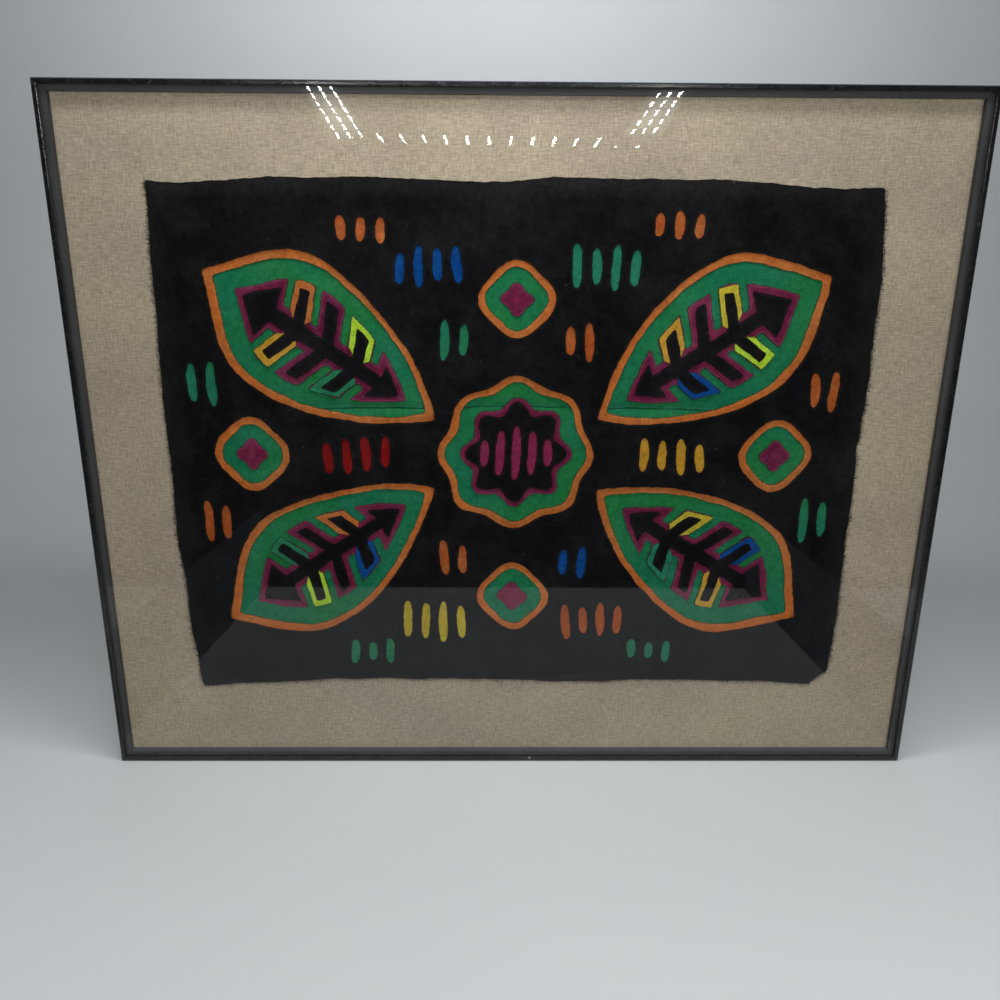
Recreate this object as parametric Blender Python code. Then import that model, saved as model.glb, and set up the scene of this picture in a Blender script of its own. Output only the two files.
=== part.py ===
"""A framed mola panel: a reverse applique cotton panel sewn on linen, behind glass in a narrow metal frame.

The panel stands on its bottom rail and faces -Y. Its origin is the middle of its foot.
Sizes are in metres. A place in the frame is given by an inset from the frame's outer edge
and a depth behind its front, and a place on the sewn panel by x and z from its middle.
"""

import math

import bmesh
import bpy
from mathutils import Vector

FRAME_WIDTH = 0.514
FRAME_HEIGHT = 0.412
FRAME_DEPTH = 0.032
GAP = 0.0003

WALL = 0.0016
LIP_WIDTH = 0.0032
LIP_THICKNESS = 0.0015
LIP_ROUNDING = 0.0011
ARC_STEPS = 4
FLANGE_WIDTH = 0.009
FLANGE_THICKNESS = 0.0016

GLASS_THICKNESS = 0.002
GLASS_BEVEL = 0.0003
SPACER_WIDTH = 0.0042
SPACER_DEPTH = 0.0036
LINEN_THICKNESS = 0.001
LINEN_TURNING = 0.022
LINEN_FOLD = 0.0004

CLOTH_THICKNESS = 0.001
PANEL_CENTRE_HEIGHT = 0.208
PANEL_HALF_WIDTH = 0.206
PANEL_HALF_HEIGHT = 0.155
PANEL_EDGE_STEP = 0.012
ORANGE_CLOTH_INSET = 0.004
GREEN_CLOTH_INSET = 0.002

# Reveals of each cloth round a black shape, counted outwards from its cut edge
EDGING_REVEAL = 0.0036
GREEN_REVEAL = 0.0096
ORANGE_REVEAL = 0.0043

LEAF_HALF_LENGTH = 0.052
LEAF_HALF_WIDTH = 0.024
LEAF_CENTRE = (0.113, 0.064)
LEAF_ANGLE = math.radians(33)
LEAF_TIP_STRETCH = 1.47
LEAF_SPINE_HALF_WIDTH = 0.004
LEAF_SLOT_PLACES = (-0.032, -0.013, 0.006, 0.025)
LEAF_SLOT_HALF_WIDTH = 0.006
LEAF_SLOT_ROUNDING = 0.35
LEAF_STEP = 0.011
LEAF_SLANT = 0.42

FLOWER_RADIUS = 0.027
FLOWER_PETALS = 8
FLOWER_PETAL_HEIGHT = 0.0035
FLOWER_POINTS = 48
FLOWER_SLIT_PITCH = 0.0095
FLOWER_SLIT_HEIGHTS = (0.017, 0.029, 0.034, 0.028, 0.018)

BUD_RADIUS = 0.0085
BUD_LOBES = 4
BUD_LOBE_HEIGHT = 0.0014
BUD_GREEN_REVEAL = 0.0085
BUD_POINTS = 24
BUD_PLACES = {"top": (0.0, 0.091), "bottom": (0.0, -0.091), "left": (-0.156, 0.0), "right": (0.156, 0.0)}

SLIT_WIDTH = 0.0054
SLIT_END_STEPS = 3
SLIT_HEIGHT_CHANGE = 0.14
SLIT_LEVEL_CHANGE = 0.0016
SLIT_LEAN = 0.04
PATCH_MARGIN = 0.002
SEAM_HEIGHT = 0.028

# How far a hand strays from the drawn place: reach in metres, waves per metre along x and z, and start,
# first to the side and then upwards
HAND_WAVES = (
    ((0.0009, 17, 31, 0.6), (0.0004, -40, 83, 0.0)),
    ((0.0009, 27, -21, 1.9), (0.0004, 71, 33, 0.8)),
)

# Corners and main waves of the sewn panel's edge, clockwise from the upper left: x, z
PANEL_EDGE = (
    (-0.2060, 0.1550),
    (-0.1880, 0.1526),
    (-0.1030, 0.1558),
    (-0.0210, 0.1551),
    (0.0230, 0.1570),
    (0.0720, 0.1560),
    (0.1220, 0.1544),
    (0.1820, 0.1522),
    (0.2030, 0.1530),
    (0.2072, 0.0950),
    (0.2080, 0.0340),
    (0.2056, -0.0500),
    (0.2050, -0.1434),
    (0.1950, -0.1533),
    (0.1250, -0.1518),
    (0.0570, -0.1527),
    (-0.0400, -0.1496),
    (-0.1180, -0.1519),
    (-0.1940, -0.1557),
    (-0.2000, -0.1556),
    (-0.2078, -0.0600),
    (-0.2060, 0.0380),
)

# The four leaves, mirrored from the upper right one: sign of x, sign of z
QUARTERS = {
    "upper_right": (1, 1),
    "upper_left": (-1, 1),
    "lower_right": (1, -1),
    "lower_left": (-1, -1),
}

# Groups of upright slits in the black cloth: colour below, x, z, count, pitch, height
SLIT_GROUPS = (
    ("blue", -0.050, 0.109, 4, 0.0110, 0.021),
    ("jade", 0.051, 0.109, 4, 0.0112, 0.024),
    ("yellow", -0.050, -0.108, 4, 0.0114, 0.026),
    ("orange", 0.050, -0.109, 4, 0.0110, 0.022),
    ("orange", -0.088, 0.130, 3, 0.0112, 0.014),
    ("orange", 0.090, 0.130, 3, 0.0112, 0.015),
    ("jade", -0.090, -0.130, 3, 0.0112, 0.016),
    ("jade", 0.088, -0.129, 3, 0.0112, 0.014),
    ("red", -0.094, 0.000, 4, 0.0112, 0.022),
    ("gold", 0.093, -0.001, 4, 0.0112, 0.021),
    ("jade", -0.037, 0.067, 2, 0.0112, 0.022),
    ("orange", 0.037, 0.067, 2, 0.0112, 0.020),
    ("orange", -0.037, -0.067, 2, 0.0112, 0.021),
    ("blue", 0.037, -0.067, 2, 0.0112, 0.020),
    ("jade", -0.182, 0.040, 2, 0.0110, 0.026),
    ("orange", 0.182, 0.039, 2, 0.0110, 0.024),
    ("orange", -0.181, -0.041, 2, 0.0110, 0.025),
    ("jade", 0.182, -0.040, 2, 0.0110, 0.027),
)

COLOURS = {
    "black_paint": (0.012, 0.013, 0.015),
    "spacer_grey": (0.045, 0.046, 0.050),
    "clear_glass": (0.90, 0.94, 0.93),
    "fibre_board": (0.30, 0.21, 0.13),
    "linen": (0.47, 0.40, 0.30),
    "black": (0.010, 0.009, 0.011),
    "green": (0.015, 0.160, 0.075),
    "orange": (0.560, 0.150, 0.040),
    "magenta": (0.210, 0.030, 0.085),
    "blue": (0.010, 0.080, 0.420),
    "jade": (0.035, 0.290, 0.150),
    "yellow": (0.620, 0.540, 0.110),
    "gold": (0.720, 0.400, 0.060),
    "red": (0.300, 0.008, 0.010),
}


def material(colour):
    """The material of a colour in the table, made once."""
    found = bpy.data.materials.get(colour)
    if found:
        return found
    made = bpy.data.materials.new(colour)
    made.use_nodes = True
    shader = made.node_tree.nodes["Principled BSDF"]
    shader.inputs["Base Color"].default_value = (*COLOURS[colour], 1.0)
    shader.inputs["Metallic"].default_value = 0.0
    shader.inputs["Roughness"].default_value = {"black_paint": 0.35, "clear_glass": 0.03}.get(colour, 0.9)
    if colour == "clear_glass":
        shader.inputs["Transmission Weight"].default_value = 1.0
    return made


def add_object(name, data, colour):
    """An object of this mesh or curve, linked to the scene."""
    data.materials.append(material(colour))
    made = bpy.data.objects.new(name, data)
    bpy.context.scene.collection.objects.link(made)
    return made


def frame_point(across, up, depth):
    """A point of the standing frame, from its place across, up, and behind the front."""
    return Vector((across, depth - FRAME_DEPTH / 2, up))


def arc(centre, radius, start, end, steps):
    """Points of a circular arc between two angles in degrees."""
    angles = [math.radians(start + (end - start) * i / steps) for i in range(steps + 1)]
    return [(centre[0] + radius * math.cos(a), centre[1] + radius * math.sin(a)) for a in angles]


def rail_profile():
    """The rail's section as (inset, depth): outer wall, rounded front lip, and rear flange."""
    r = LIP_ROUNDING
    tip = LIP_THICKNESS / 2
    flange_front = FRAME_DEPTH - FLANGE_THICKNESS
    front = arc((r, r), r, 180, 270, ARC_STEPS)
    lip_end = arc((LIP_WIDTH - tip, tip), tip, -90, 90, ARC_STEPS)
    inner = [(WALL, LIP_THICKNESS), (WALL, flange_front)]
    flange = [(FLANGE_WIDTH, flange_front), (FLANGE_WIDTH, FRAME_DEPTH), (0.0, FRAME_DEPTH)]
    return front + lip_end + inner + flange


def spacer_profile(first_depth):
    """The spacer strip's section as (inset, depth)."""
    near = WALL + GAP
    far = near + SPACER_WIDTH
    last_depth = first_depth + SPACER_DEPTH
    return [(near, first_depth), (far, first_depth), (far, last_depth), (near, last_depth)]


def finished(shape, name, colour):
    """The object of a bmesh whose faces are made to point outwards."""
    bmesh.ops.recalc_face_normals(shape, faces=shape.faces)
    mesh = bpy.data.meshes.new(name)
    shape.to_mesh(mesh)
    shape.free()
    mesh.shade_smooth()
    mesh.set_sharp_from_angle(angle=math.radians(40))
    return add_object(name, mesh, colour)


def mitred_bar(name, profile, side, colour):
    """A profile run along one side of the frame, its ends cut at 45 degrees for the corner."""
    mitre_gap = GAP / math.sqrt(2)
    upright = side in ("left", "right")
    half_run = (FRAME_HEIGHT if upright else FRAME_WIDTH) / 2
    mid_height = FRAME_HEIGHT / 2
    shape = bmesh.new()
    ends = []
    for direction in (-1, 1):
        ring = []
        for inset, depth in profile:
            along = direction * (half_run - inset - mitre_gap)
            if side == "top":
                place = frame_point(along, FRAME_HEIGHT - inset, depth)
            elif side == "bottom":
                place = frame_point(along, inset, depth)
            elif side == "left":
                place = frame_point(inset - FRAME_WIDTH / 2, mid_height + along, depth)
            else:
                place = frame_point(FRAME_WIDTH / 2 - inset, mid_height + along, depth)
            ring.append(shape.verts.new(place))
        ends.append(ring)
    first, second = ends
    shape.faces.new(first)
    shape.faces.new(second)
    for i in range(len(profile)):
        j = (i + 1) % len(profile)
        shape.faces.new((first[i], first[j], second[j], second[i]))
    return finished(shape, name, colour)


def stacked_rectangles(name, rings, colour):
    """A closed body through rectangles, each at an (inset, depth), its first and last filled."""
    shape = bmesh.new()
    loops = []
    for inset, depth in rings:
        left, right = inset - FRAME_WIDTH / 2, FRAME_WIDTH / 2 - inset
        low, high = inset, FRAME_HEIGHT - inset
        corners = ((left, low), (right, low), (right, high), (left, high))
        loops.append([shape.verts.new(frame_point(x, z, depth)) for x, z in corners])
    shape.faces.new(loops[0])
    shape.faces.new(loops[-1])
    for near, far in zip(loops, loops[1:]):
        for i in range(4):
            j = (i + 1) % 4
            shape.faces.new((near[i], near[j], far[j], far[i]))
    return finished(shape, name, colour)


def by_hand(x, z):
    """Where a hand puts a point that was drawn at x, z: off by a sum of waves, up to about a millimetre."""
    sideways, upwards = (
        sum(reach * math.sin(along_x * x + along_z * z + start) for reach, along_x, along_z, start in waves)
        for waves in HAND_WAVES
    )
    return x + sideways, z + upwards


def cut_cloth(name, outline, windows, front_depth, colour):
    """A flat cloth of one thickness, with its outline and windows as (x, z) loops about its middle."""
    data = bpy.data.curves.new(name, "CURVE")
    data.dimensions = "2D"
    data.fill_mode = "BOTH"
    data.extrude = CLOTH_THICKNESS / 2
    for loop in (outline, *windows):
        spline = data.splines.new("POLY")
        spline.points.add(len(loop) - 1)
        spline.use_cyclic_u = True
        for point, (x, z) in zip(spline.points, loop):
            point.co = (*by_hand(x, z), 0.0, 1.0)
    cloth = add_object(name, data, colour)
    cloth.location = frame_point(0.0, PANEL_CENTRE_HEIGHT, front_depth + CLOTH_THICKNESS / 2)
    cloth.rotation_euler = (math.pi / 2, 0.0, 0.0)
    return cloth


def panel_edge(inset=0.0):
    """The sewn panel's outline, with points between its corners, drawn in towards its middle by inset."""
    across, up = 1 - inset / PANEL_HALF_WIDTH, 1 - inset / PANEL_HALF_HEIGHT
    loop = []
    for (x0, z0), (x1, z1) in zip(PANEL_EDGE, PANEL_EDGE[1:] + PANEL_EDGE[:1]):
        pieces = max(1, round(math.dist((x0, z0), (x1, z1)) / PANEL_EDGE_STEP))
        for i in range(pieces):
            share = i / pieces
            loop.append((across * (x0 + (x1 - x0) * share), up * (z0 + (z1 - z0) * share)))
    return loop


def part_of(loop, height, above):
    """The part of a loop above or below a level line, closed along the line."""
    sign = 1 if above else -1
    kept = []
    for (x0, z0), (x1, z1) in zip(loop, loop[1:] + loop[:1]):
        inside = sign * (z0 - height) > 0
        next_inside = sign * (z1 - height) > 0
        if inside:
            kept.append((x0, z0))
        if inside != next_inside:
            share = (height - z0) / (z1 - z0)
            kept.append((x0 + share * (x1 - x0), height))
    return kept


def lobed(centre, radius, lobes, lobe_height, steps):
    """A round loop whose radius swells at each lobe: radius plus height times the cosine of lobes turns."""
    loop = []
    for i in range(steps):
        angle = 2 * math.pi * i / steps
        reach = radius + lobe_height * math.cos(lobes * angle)
        loop.append((centre[0] + reach * math.cos(angle), centre[1] + reach * math.sin(angle)))
    return loop


def slit(x, z, height, lean=0.0):
    """An upright slit with round ends, leaning by a share of its height."""
    radius = SLIT_WIDTH / 2
    straight = height / 2 - radius
    loop = []
    for level, start in ((straight, 0), (-straight, 180)):
        for dx, dz in arc((0.0, level), radius, start, start + 180, SLIT_END_STEPS):
            loop.append((x + dx + lean * dz, z + dz))
    return loop


def slits_of(group):
    """The loops of one group of slits, each a little different in height, level and lean."""
    _, x, z, count, pitch, height = group
    loops = []
    for i in range(count):
        phase = 7.0 * i + 90 * x + 60 * z
        own_x = x + (i - (count - 1) / 2) * pitch
        own_z = z + SLIT_LEVEL_CHANGE * math.sin(1.7 * phase)
        own_height = height * (1 + SLIT_HEIGHT_CHANGE * math.sin(2.3 * phase))
        loops.append(slit(own_x, own_z, own_height, SLIT_LEAN * math.sin(phase)))
    return loops


def rectangle(x, z, half_width, half_height):
    """A level rectangle about a point."""
    return [
        (x - half_width, z - half_height),
        (x + half_width, z - half_height),
        (x + half_width, z + half_height),
        (x - half_width, z + half_height),
    ]


def patch_under(group, growth=0.0):
    """The patch of cloth that shows through one group of slits, grown by growth."""
    _, x, z, count, pitch, height = group
    margin = PATCH_MARGIN + growth
    half_width = (count - 1) * pitch / 2 + SLIT_WIDTH / 2 + margin
    half_height = (1 + SLIT_HEIGHT_CHANGE) * height / 2 + SLIT_LEVEL_CHANGE + margin
    return rectangle(x, z, half_width, half_height)


def leaf_width(along, growth):
    """Half the leaf's width at a place along it: a parabola between its two tips."""
    half_length = LEAF_HALF_LENGTH + growth * LEAF_TIP_STRETCH
    return (LEAF_HALF_WIDTH + growth) * (1 - (along / half_length) ** 2)


def leaf_side(growth, slotted):
    """One side of a leaf, from stalk to tip, as (along, out), with its slots cut in towards the spine."""
    half_length = LEAF_HALF_LENGTH + growth * LEAF_TIP_STRETCH
    half_slot = LEAF_SLOT_HALF_WIDTH - growth
    spine = LEAF_SPINE_HALF_WIDTH + growth
    corner = LEAF_SLOT_ROUNDING * half_slot
    slots = [(middle - half_slot, middle + half_slot) for middle in LEAF_SLOT_PLACES if slotted]
    starts = [-half_length] + [far for _, far in slots]
    ends = [near for near, _ in slots] + [half_length]
    side = []
    for start, end in zip(starts, ends):
        steps = max(1, round((end - start) / LEAF_STEP))
        places = [start + (end - start) * i / steps for i in range(steps + 1)]
        side += [(place, leaf_width(place, growth)) for place in places]
        if end < half_length:
            far = end + 2 * half_slot
            side += [(end, spine + corner), (end + corner, spine)]
            side += [(far - corner, spine), (far, spine + corner)]
    return side


def leaf(growth, slotted, mirror_x, mirror_z):
    """A leaf of one quarter of the panel, grown outwards from its black shape."""
    upper = leaf_side(growth, slotted)
    lower = [(along, -out) for along, out in reversed(upper[1:-1])]
    half_length = LEAF_HALF_LENGTH + growth * LEAF_TIP_STRETCH
    loop = []
    for along, out in upper + lower:
        along += LEAF_SLANT * abs(out) * (1 - (along / half_length) ** 2)
        x = LEAF_CENTRE[0] + along * math.cos(LEAF_ANGLE) - out * math.sin(LEAF_ANGLE)
        z = LEAF_CENTRE[1] + along * math.sin(LEAF_ANGLE) + out * math.cos(LEAF_ANGLE)
        loop.append((mirror_x * x, mirror_z * z))
    return loop


def flower(growth):
    """The middle flower, grown outwards from its black shape; its petals flatten as it grows."""
    height = FLOWER_PETAL_HEIGHT * FLOWER_RADIUS / (FLOWER_RADIUS + growth)
    return lobed((0.0, 0.0), FLOWER_RADIUS + growth, FLOWER_PETALS, height, FLOWER_POINTS)


def flower_slits():
    """The row of slits in the middle flower."""
    middle = (len(FLOWER_SLIT_HEIGHTS) - 1) / 2
    heights = enumerate(FLOWER_SLIT_HEIGHTS)
    return [slit((i - middle) * FLOWER_SLIT_PITCH, 0.0, height) for i, height in heights]


def bud(centre, growth):
    """A small bud, grown outwards from its core."""
    return lobed(centre, BUD_RADIUS + growth, BUD_LOBES, BUD_LOBE_HEIGHT, BUD_POINTS)


def build_frame():
    """The four rails, the glass, and the spacers that keep it off the cloth."""
    glass_front = LIP_THICKNESS + GAP
    glass_back = glass_front + GLASS_THICKNESS
    edge = WALL + GAP
    for side in ("top", "bottom", "left", "right"):
        mitred_bar(f"rail_{side}", rail_profile(), side, "black_paint")
        mitred_bar(f"spacer_{side}", spacer_profile(glass_back + GAP), side, "spacer_grey")
    stacked_rectangles(
        "glass_pane",
        (
            (edge + GLASS_BEVEL, glass_front),
            (edge, glass_front + GLASS_BEVEL),
            (edge, glass_back - GLASS_BEVEL),
            (edge + GLASS_BEVEL, glass_back),
        ),
        "clear_glass",
    )
    return glass_back


def build_mount(linen_front):
    """The fibre board, and the linen drawn over its front and edges and turned onto its back."""
    outer = WALL + GAP
    inner = outer + LINEN_THICKNESS
    linen_back = FRAME_DEPTH - FLANGE_THICKNESS - GAP
    stacked_rectangles(
        "linen_cover",
        (
            (outer + LINEN_FOLD, linen_front),
            (outer, linen_front + LINEN_FOLD),
            (outer, linen_back - LINEN_FOLD),
            (outer + LINEN_FOLD, linen_back),
            (outer + LINEN_TURNING, linen_back),
            (outer + LINEN_TURNING, linen_back - LINEN_THICKNESS),
            (inner, linen_back - LINEN_THICKNESS),
            (inner, linen_front + LINEN_THICKNESS),
        ),
        "linen",
    )
    board_edge = inner + GAP
    board_front = linen_front + LINEN_THICKNESS + GAP
    board_back = linen_back - LINEN_THICKNESS - GAP
    stacked_rectangles("mount_board", ((board_edge, board_front), (board_edge, board_back)), "fibre_board")


def build_layers(top_front, middle_front, back_front):
    """The cloths that span the panel: black with its windows, orange below it, and green in two parts."""
    green_edge = EDGING_REVEAL + GREEN_REVEAL
    black_edge = green_edge + ORANGE_REVEAL
    top_windows = [leaf(black_edge, False, *signs) for signs in QUARTERS.values()]
    top_windows.append(flower(black_edge))
    top_windows += [bud(centre, BUD_GREEN_REVEAL + ORANGE_REVEAL) for centre in BUD_PLACES.values()]
    top_windows += [loop for group in SLIT_GROUPS for loop in slits_of(group)]
    cut_cloth("top_cloth", panel_edge(), top_windows, top_front, "black")

    orange_windows = [leaf(green_edge, False, *signs) for signs in QUARTERS.values()]
    orange_windows.append(flower(green_edge))
    orange_windows += [bud(centre, BUD_GREEN_REVEAL) for centre in BUD_PLACES.values()]
    orange_windows += [patch_under(group, growth=GAP) for group in SLIT_GROUPS if group[0] != "orange"]
    cut_cloth("orange_cloth", panel_edge(ORANGE_CLOTH_INSET), orange_windows, middle_front, "orange")

    green_outline = panel_edge(GREEN_CLOTH_INSET)
    upper = part_of(green_outline, SEAM_HEIGHT + GAP / 2, above=True)
    lower = part_of(green_outline, SEAM_HEIGHT - GAP / 2, above=False)
    cut_cloth("green_cloth_upper", upper, [], back_front, "green")
    cut_cloth("green_cloth_lower", lower, [], back_front, "green")


def build_motifs(top_front, middle_front):
    """The black shapes with their edging cloths, the buds, and the patches under the slits."""
    for quarter, signs in QUARTERS.items():
        cut_cloth(f"leaf_{quarter}", leaf(0.0, True, *signs), [], top_front, "black")
        cut_cloth(f"leaf_{quarter}_edging", leaf(EDGING_REVEAL, True, *signs), [], middle_front, "magenta")
    cut_cloth("flower", flower(0.0), flower_slits(), top_front, "black")
    cut_cloth("flower_edging", flower(EDGING_REVEAL), [], middle_front, "magenta")
    for place, centre in BUD_PLACES.items():
        cut_cloth(f"bud_{place}", bud(centre, 0.0), [], middle_front, "magenta")
    patches = [group for group in SLIT_GROUPS if group[0] != "orange"]
    for number, group in enumerate(patches, 1):
        cut_cloth(f"patch_{number:02d}_{group[0]}", patch_under(group), [], middle_front, group[0])


def main():
    for thing in list(bpy.data.objects):
        bpy.data.objects.remove(thing, do_unlink=True)
    glass_back = build_frame()
    top_front = glass_back + GAP
    middle_front = top_front + CLOTH_THICKNESS + GAP
    back_front = middle_front + CLOTH_THICKNESS + GAP
    build_layers(top_front, middle_front, back_front)
    build_motifs(top_front, middle_front)
    build_mount(back_front + CLOTH_THICKNESS + GAP)


main()
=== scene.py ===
# %% [markdown]
# # A framed mola panel
# A mola is a small textile picture in reverse applique: several cotton cloths are laid on each
# other, windows are cut in the upper ones, and each cut edge is turned under and sewn down so that
# the colour below shows. This one is sewn on linen and kept behind glass in a thin black frame.
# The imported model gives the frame, the glass and the flat solids of all cloths. This lesson keeps
# the hard parts, gives them finishes, and replaces each plain cloth by a sewn one.

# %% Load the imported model
import math

import bpy
import numpy as np
from mathutils import Matrix, Vector
from mathutils.geometry import delaunay_2d_cdt


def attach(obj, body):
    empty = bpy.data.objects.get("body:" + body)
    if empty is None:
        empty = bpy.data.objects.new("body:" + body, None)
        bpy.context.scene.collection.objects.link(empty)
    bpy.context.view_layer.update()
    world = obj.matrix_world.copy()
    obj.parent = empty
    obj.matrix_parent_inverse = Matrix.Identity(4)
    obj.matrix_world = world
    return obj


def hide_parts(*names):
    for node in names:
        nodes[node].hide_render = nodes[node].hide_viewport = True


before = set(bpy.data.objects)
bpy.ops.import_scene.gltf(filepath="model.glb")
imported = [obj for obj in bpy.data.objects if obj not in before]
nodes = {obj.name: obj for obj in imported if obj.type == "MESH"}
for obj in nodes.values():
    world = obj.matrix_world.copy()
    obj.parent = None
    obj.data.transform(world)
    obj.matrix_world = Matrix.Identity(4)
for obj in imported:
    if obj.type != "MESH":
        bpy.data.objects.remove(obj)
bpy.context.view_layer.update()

# %% [markdown]
# ## The camera
# The photograph looks down at the frame from a little above its top edge. The camera comes first,
# so that every later look at a picture can be compared with the photograph. Its place was solved
# from the frame's corners. It is given by a point, a tilt down, a turn and a roll, and those
# three angles become three axes that stand square to each other.

# %% Camera
CAMERA_PLACE = (-0.0154, -0.5337, 0.3414)
CAMERA_TILT = math.radians(17.21)
CAMERA_TURN = math.radians(0.71)
CAMERA_ROLL = math.radians(0.40)
CAMERA_LENS = 32.4
CAMERA_SENSOR = 36.0


def camera_axes(tilt, turn, roll):
    """Right, up and view directions: the view tilts down and turns to the right, then rolls about itself."""
    view = np.array([math.sin(turn) * math.cos(tilt), math.cos(turn) * math.cos(tilt), -math.sin(tilt)])
    level = np.cross(view, (0.0, 0.0, 1.0))
    level /= np.linalg.norm(level)
    upright = np.cross(level, view)
    right = level * math.cos(roll) + upright * math.sin(roll)
    return right, np.cross(right, view), view


right, up, view = camera_axes(CAMERA_TILT, CAMERA_TURN, CAMERA_ROLL)
camera_data = bpy.data.cameras.new("camera")
camera_data.lens = CAMERA_LENS
camera_data.sensor_width = CAMERA_SENSOR
camera_data.clip_start = 0.01
camera = bpy.data.objects.new("camera", camera_data)
camera.matrix_world = Matrix(np.vstack([np.column_stack([right, up, -view, CAMERA_PLACE]), (0, 0, 0, 1)]).tolist())
bpy.context.scene.collection.objects.link(camera)
bpy.context.scene.camera = camera
bpy.context.scene.view_settings.view_transform = "Standard"
print("camera looks along", view.round(3))

# %% [markdown]
# ## Sizes
# All places are in metres. A point on the sewn panel is drawn by x and z from the panel's middle,
# and every surface has a depth behind the frame's front. The drawn sizes are the same as those of
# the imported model, so each sewn cloth lies where its plain solid was.

# %% Sizes of the frame and of the drawing
FRAME_WIDTH, FRAME_HEIGHT, FRAME_DEPTH = 0.514, 0.412, 0.032
PANEL_MIDDLE = 0.208
LINEN_FRONT = 0.0080
EDGING_REVEAL, GREEN_REVEAL, ORANGE_REVEAL = 0.0036, 0.0096, 0.0043
GREEN_EDGE = EDGING_REVEAL + GREEN_REVEAL
BLACK_EDGE = GREEN_EDGE + ORANGE_REVEAL
MM = 0.001

HAND_WAVES = (
    ((0.0009, 17, 31, 0.6), (0.0004, -40, 83, 0.0)),
    ((0.0009, 27, -21, 1.9), (0.0004, 71, 33, 0.8)),
)


def by_hand(points):
    """Where a hand puts drawn points: each is moved by sine waves, up to about a millimetre."""
    x, z = points[:, 0], points[:, 1]
    moved = [
        sum(reach * np.sin(along_x * x + along_z * z + start) for reach, along_x, along_z, start in waves)
        for waves in HAND_WAVES
    ]
    return points + np.column_stack(moved)


def placed(points, depth):
    """Drawn points at a depth behind the frame's front, as places in the standing frame."""
    moved = by_hand(points)
    return np.column_stack([moved[:, 0], depth - FRAME_DEPTH / 2, PANEL_MIDDLE + moved[:, 1]])


def waves(points, seed, length, count=7):
    """Smooth unevenness, mostly from -1 to 1: a sum of sine waves of about one length in all directions."""
    random = np.random.default_rng(seed)
    angles = random.uniform(0, 2 * math.pi, count)
    lengths = length * random.uniform(0.6, 1.6, count)
    starts = random.uniform(0, 2 * math.pi, count)
    across = np.column_stack([np.cos(angles), np.sin(angles)]) * (2 * math.pi / lengths)[:, None]
    return np.sin(points @ across.T + starts).sum(axis=1) / math.sqrt(count)


print("reveals in mm:", [round(v * 1000, 1) for v in (EDGING_REVEAL, GREEN_REVEAL, ORANGE_REVEAL)])

# %% [markdown]
# ## Making a piece
# A piece is a mesh whose points were worked out as one array. It gets its finish, and when a slot of the record is
# named, it rides on the frame's body and the plain solids that it stands for are hidden.
# The distance from a folded edge can go with it as an attribute, so that a finish can be worn there and painted with
# shade next to it.

# %% Piece helper
def make_piece(name, points, faces, finish, slot=None, stands_for=(), fold=None, smooth=True):
    """An object of these points and blocks of faces, at the origin; given a slot, it rides on the one body and hides
    what it stands for.
    """
    mesh = bpy.data.meshes.new(name)
    mesh.from_pydata(points.tolist(), [], [face for block in faces for face in block.tolist()])
    if smooth:
        mesh.shade_smooth()
    mesh.materials.append(finish)
    if fold is not None:
        mesh.attributes.new("fold", "FLOAT", "POINT").data.foreach_set("value", np.asarray(fold, np.float32))
    piece = bpy.data.objects.new(name, mesh)
    bpy.context.scene.collection.objects.link(piece)
    if slot:
        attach(piece, "root")
        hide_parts(*stands_for)
    return piece


# %% [markdown]
# ## Finishes
# A finish is a small graph of nodes. A helper adds one node and fills its inputs in order: a number
# stays on the input, and another node's output is linked to it. Plain values go straight on the
# shader, and only what changes over the surface comes through nodes.

# %% Node helpers
def new_finish(name, **values):
    """A new material, its node tree and its shader, with plain values set on the shader's inputs."""
    finish = bpy.data.materials.new(name)
    finish.use_nodes = True
    tree = finish.node_tree
    shader = tree.nodes["Principled BSDF"]
    for key, value in values.items():
        shader.inputs[key.replace("_", " ").title().replace("Ior", "IOR")].default_value = value
    return finish, tree, shader


def node(tree, kind, *values, **settings):
    """A node whose inputs take these values or links in order, and whose first output comes back."""
    made = tree.nodes.new("ShaderNode" + kind)
    for key, value in settings.items():
        setattr(made, key, value)
    for socket, value in zip(made.inputs, values):
        if isinstance(value, bpy.types.NodeSocket):
            tree.links.new(value, socket)
        elif value is not None:
            socket.default_value = value
    return made.outputs[0]


def sum_of(tree, operation, *values):
    """One step of arithmetic, such as ADD or MULTIPLY."""
    return node(tree, "Math", *values, operation=operation)


def mixed(tree, share, first, second, blend="MIX"):
    """Two colours blended by a share from 0 to 1."""
    made = tree.nodes.new("ShaderNodeMix")
    made.data_type, made.blend_type = "RGBA", blend
    for socket, value in zip((made.inputs[0], made.inputs[6], made.inputs[7]), (share, first, second)):
        if isinstance(value, bpy.types.NodeSocket):
            tree.links.new(value, socket)
        else:
            socket.default_value = (*value, 1.0) if isinstance(value, tuple) and len(value) == 3 else value
    return made.outputs[2]


def grain(tree, place, stretch, detail=2.0, roughness=0.5):
    """Cloudy noise from 0 to 1, with stretch cells a metre along x, y and z."""
    scaled = node(tree, "Mapping", place, None, None, stretch)
    made = tree.nodes.new("ShaderNodeTexNoise")
    tree.links.new(scaled, made.inputs["Vector"])
    made.inputs["Scale"].default_value = 1.0
    made.inputs["Detail"].default_value = detail
    made.inputs["Roughness"].default_value = roughness
    return made.outputs[0]


def between(tree, value, low, high, new_low=0.0, new_high=1.0):
    """A value's range turned into a new one, cut off at both ends."""
    return node(tree, "MapRange", value, low, high, new_low, new_high)


def bumped(tree, shader, height, distance, strength=1.0):
    """Makes the shader's surface rise and fall by a height from 0 to 1, times a distance in metres."""
    made = tree.nodes.new("ShaderNodeBump")
    tree.links.new(height, made.inputs["Height"])
    made.inputs["Distance"].default_value = distance
    made.inputs["Strength"].default_value = strength
    tree.links.new(made.outputs[0], shader.inputs["Normal"])


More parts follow.
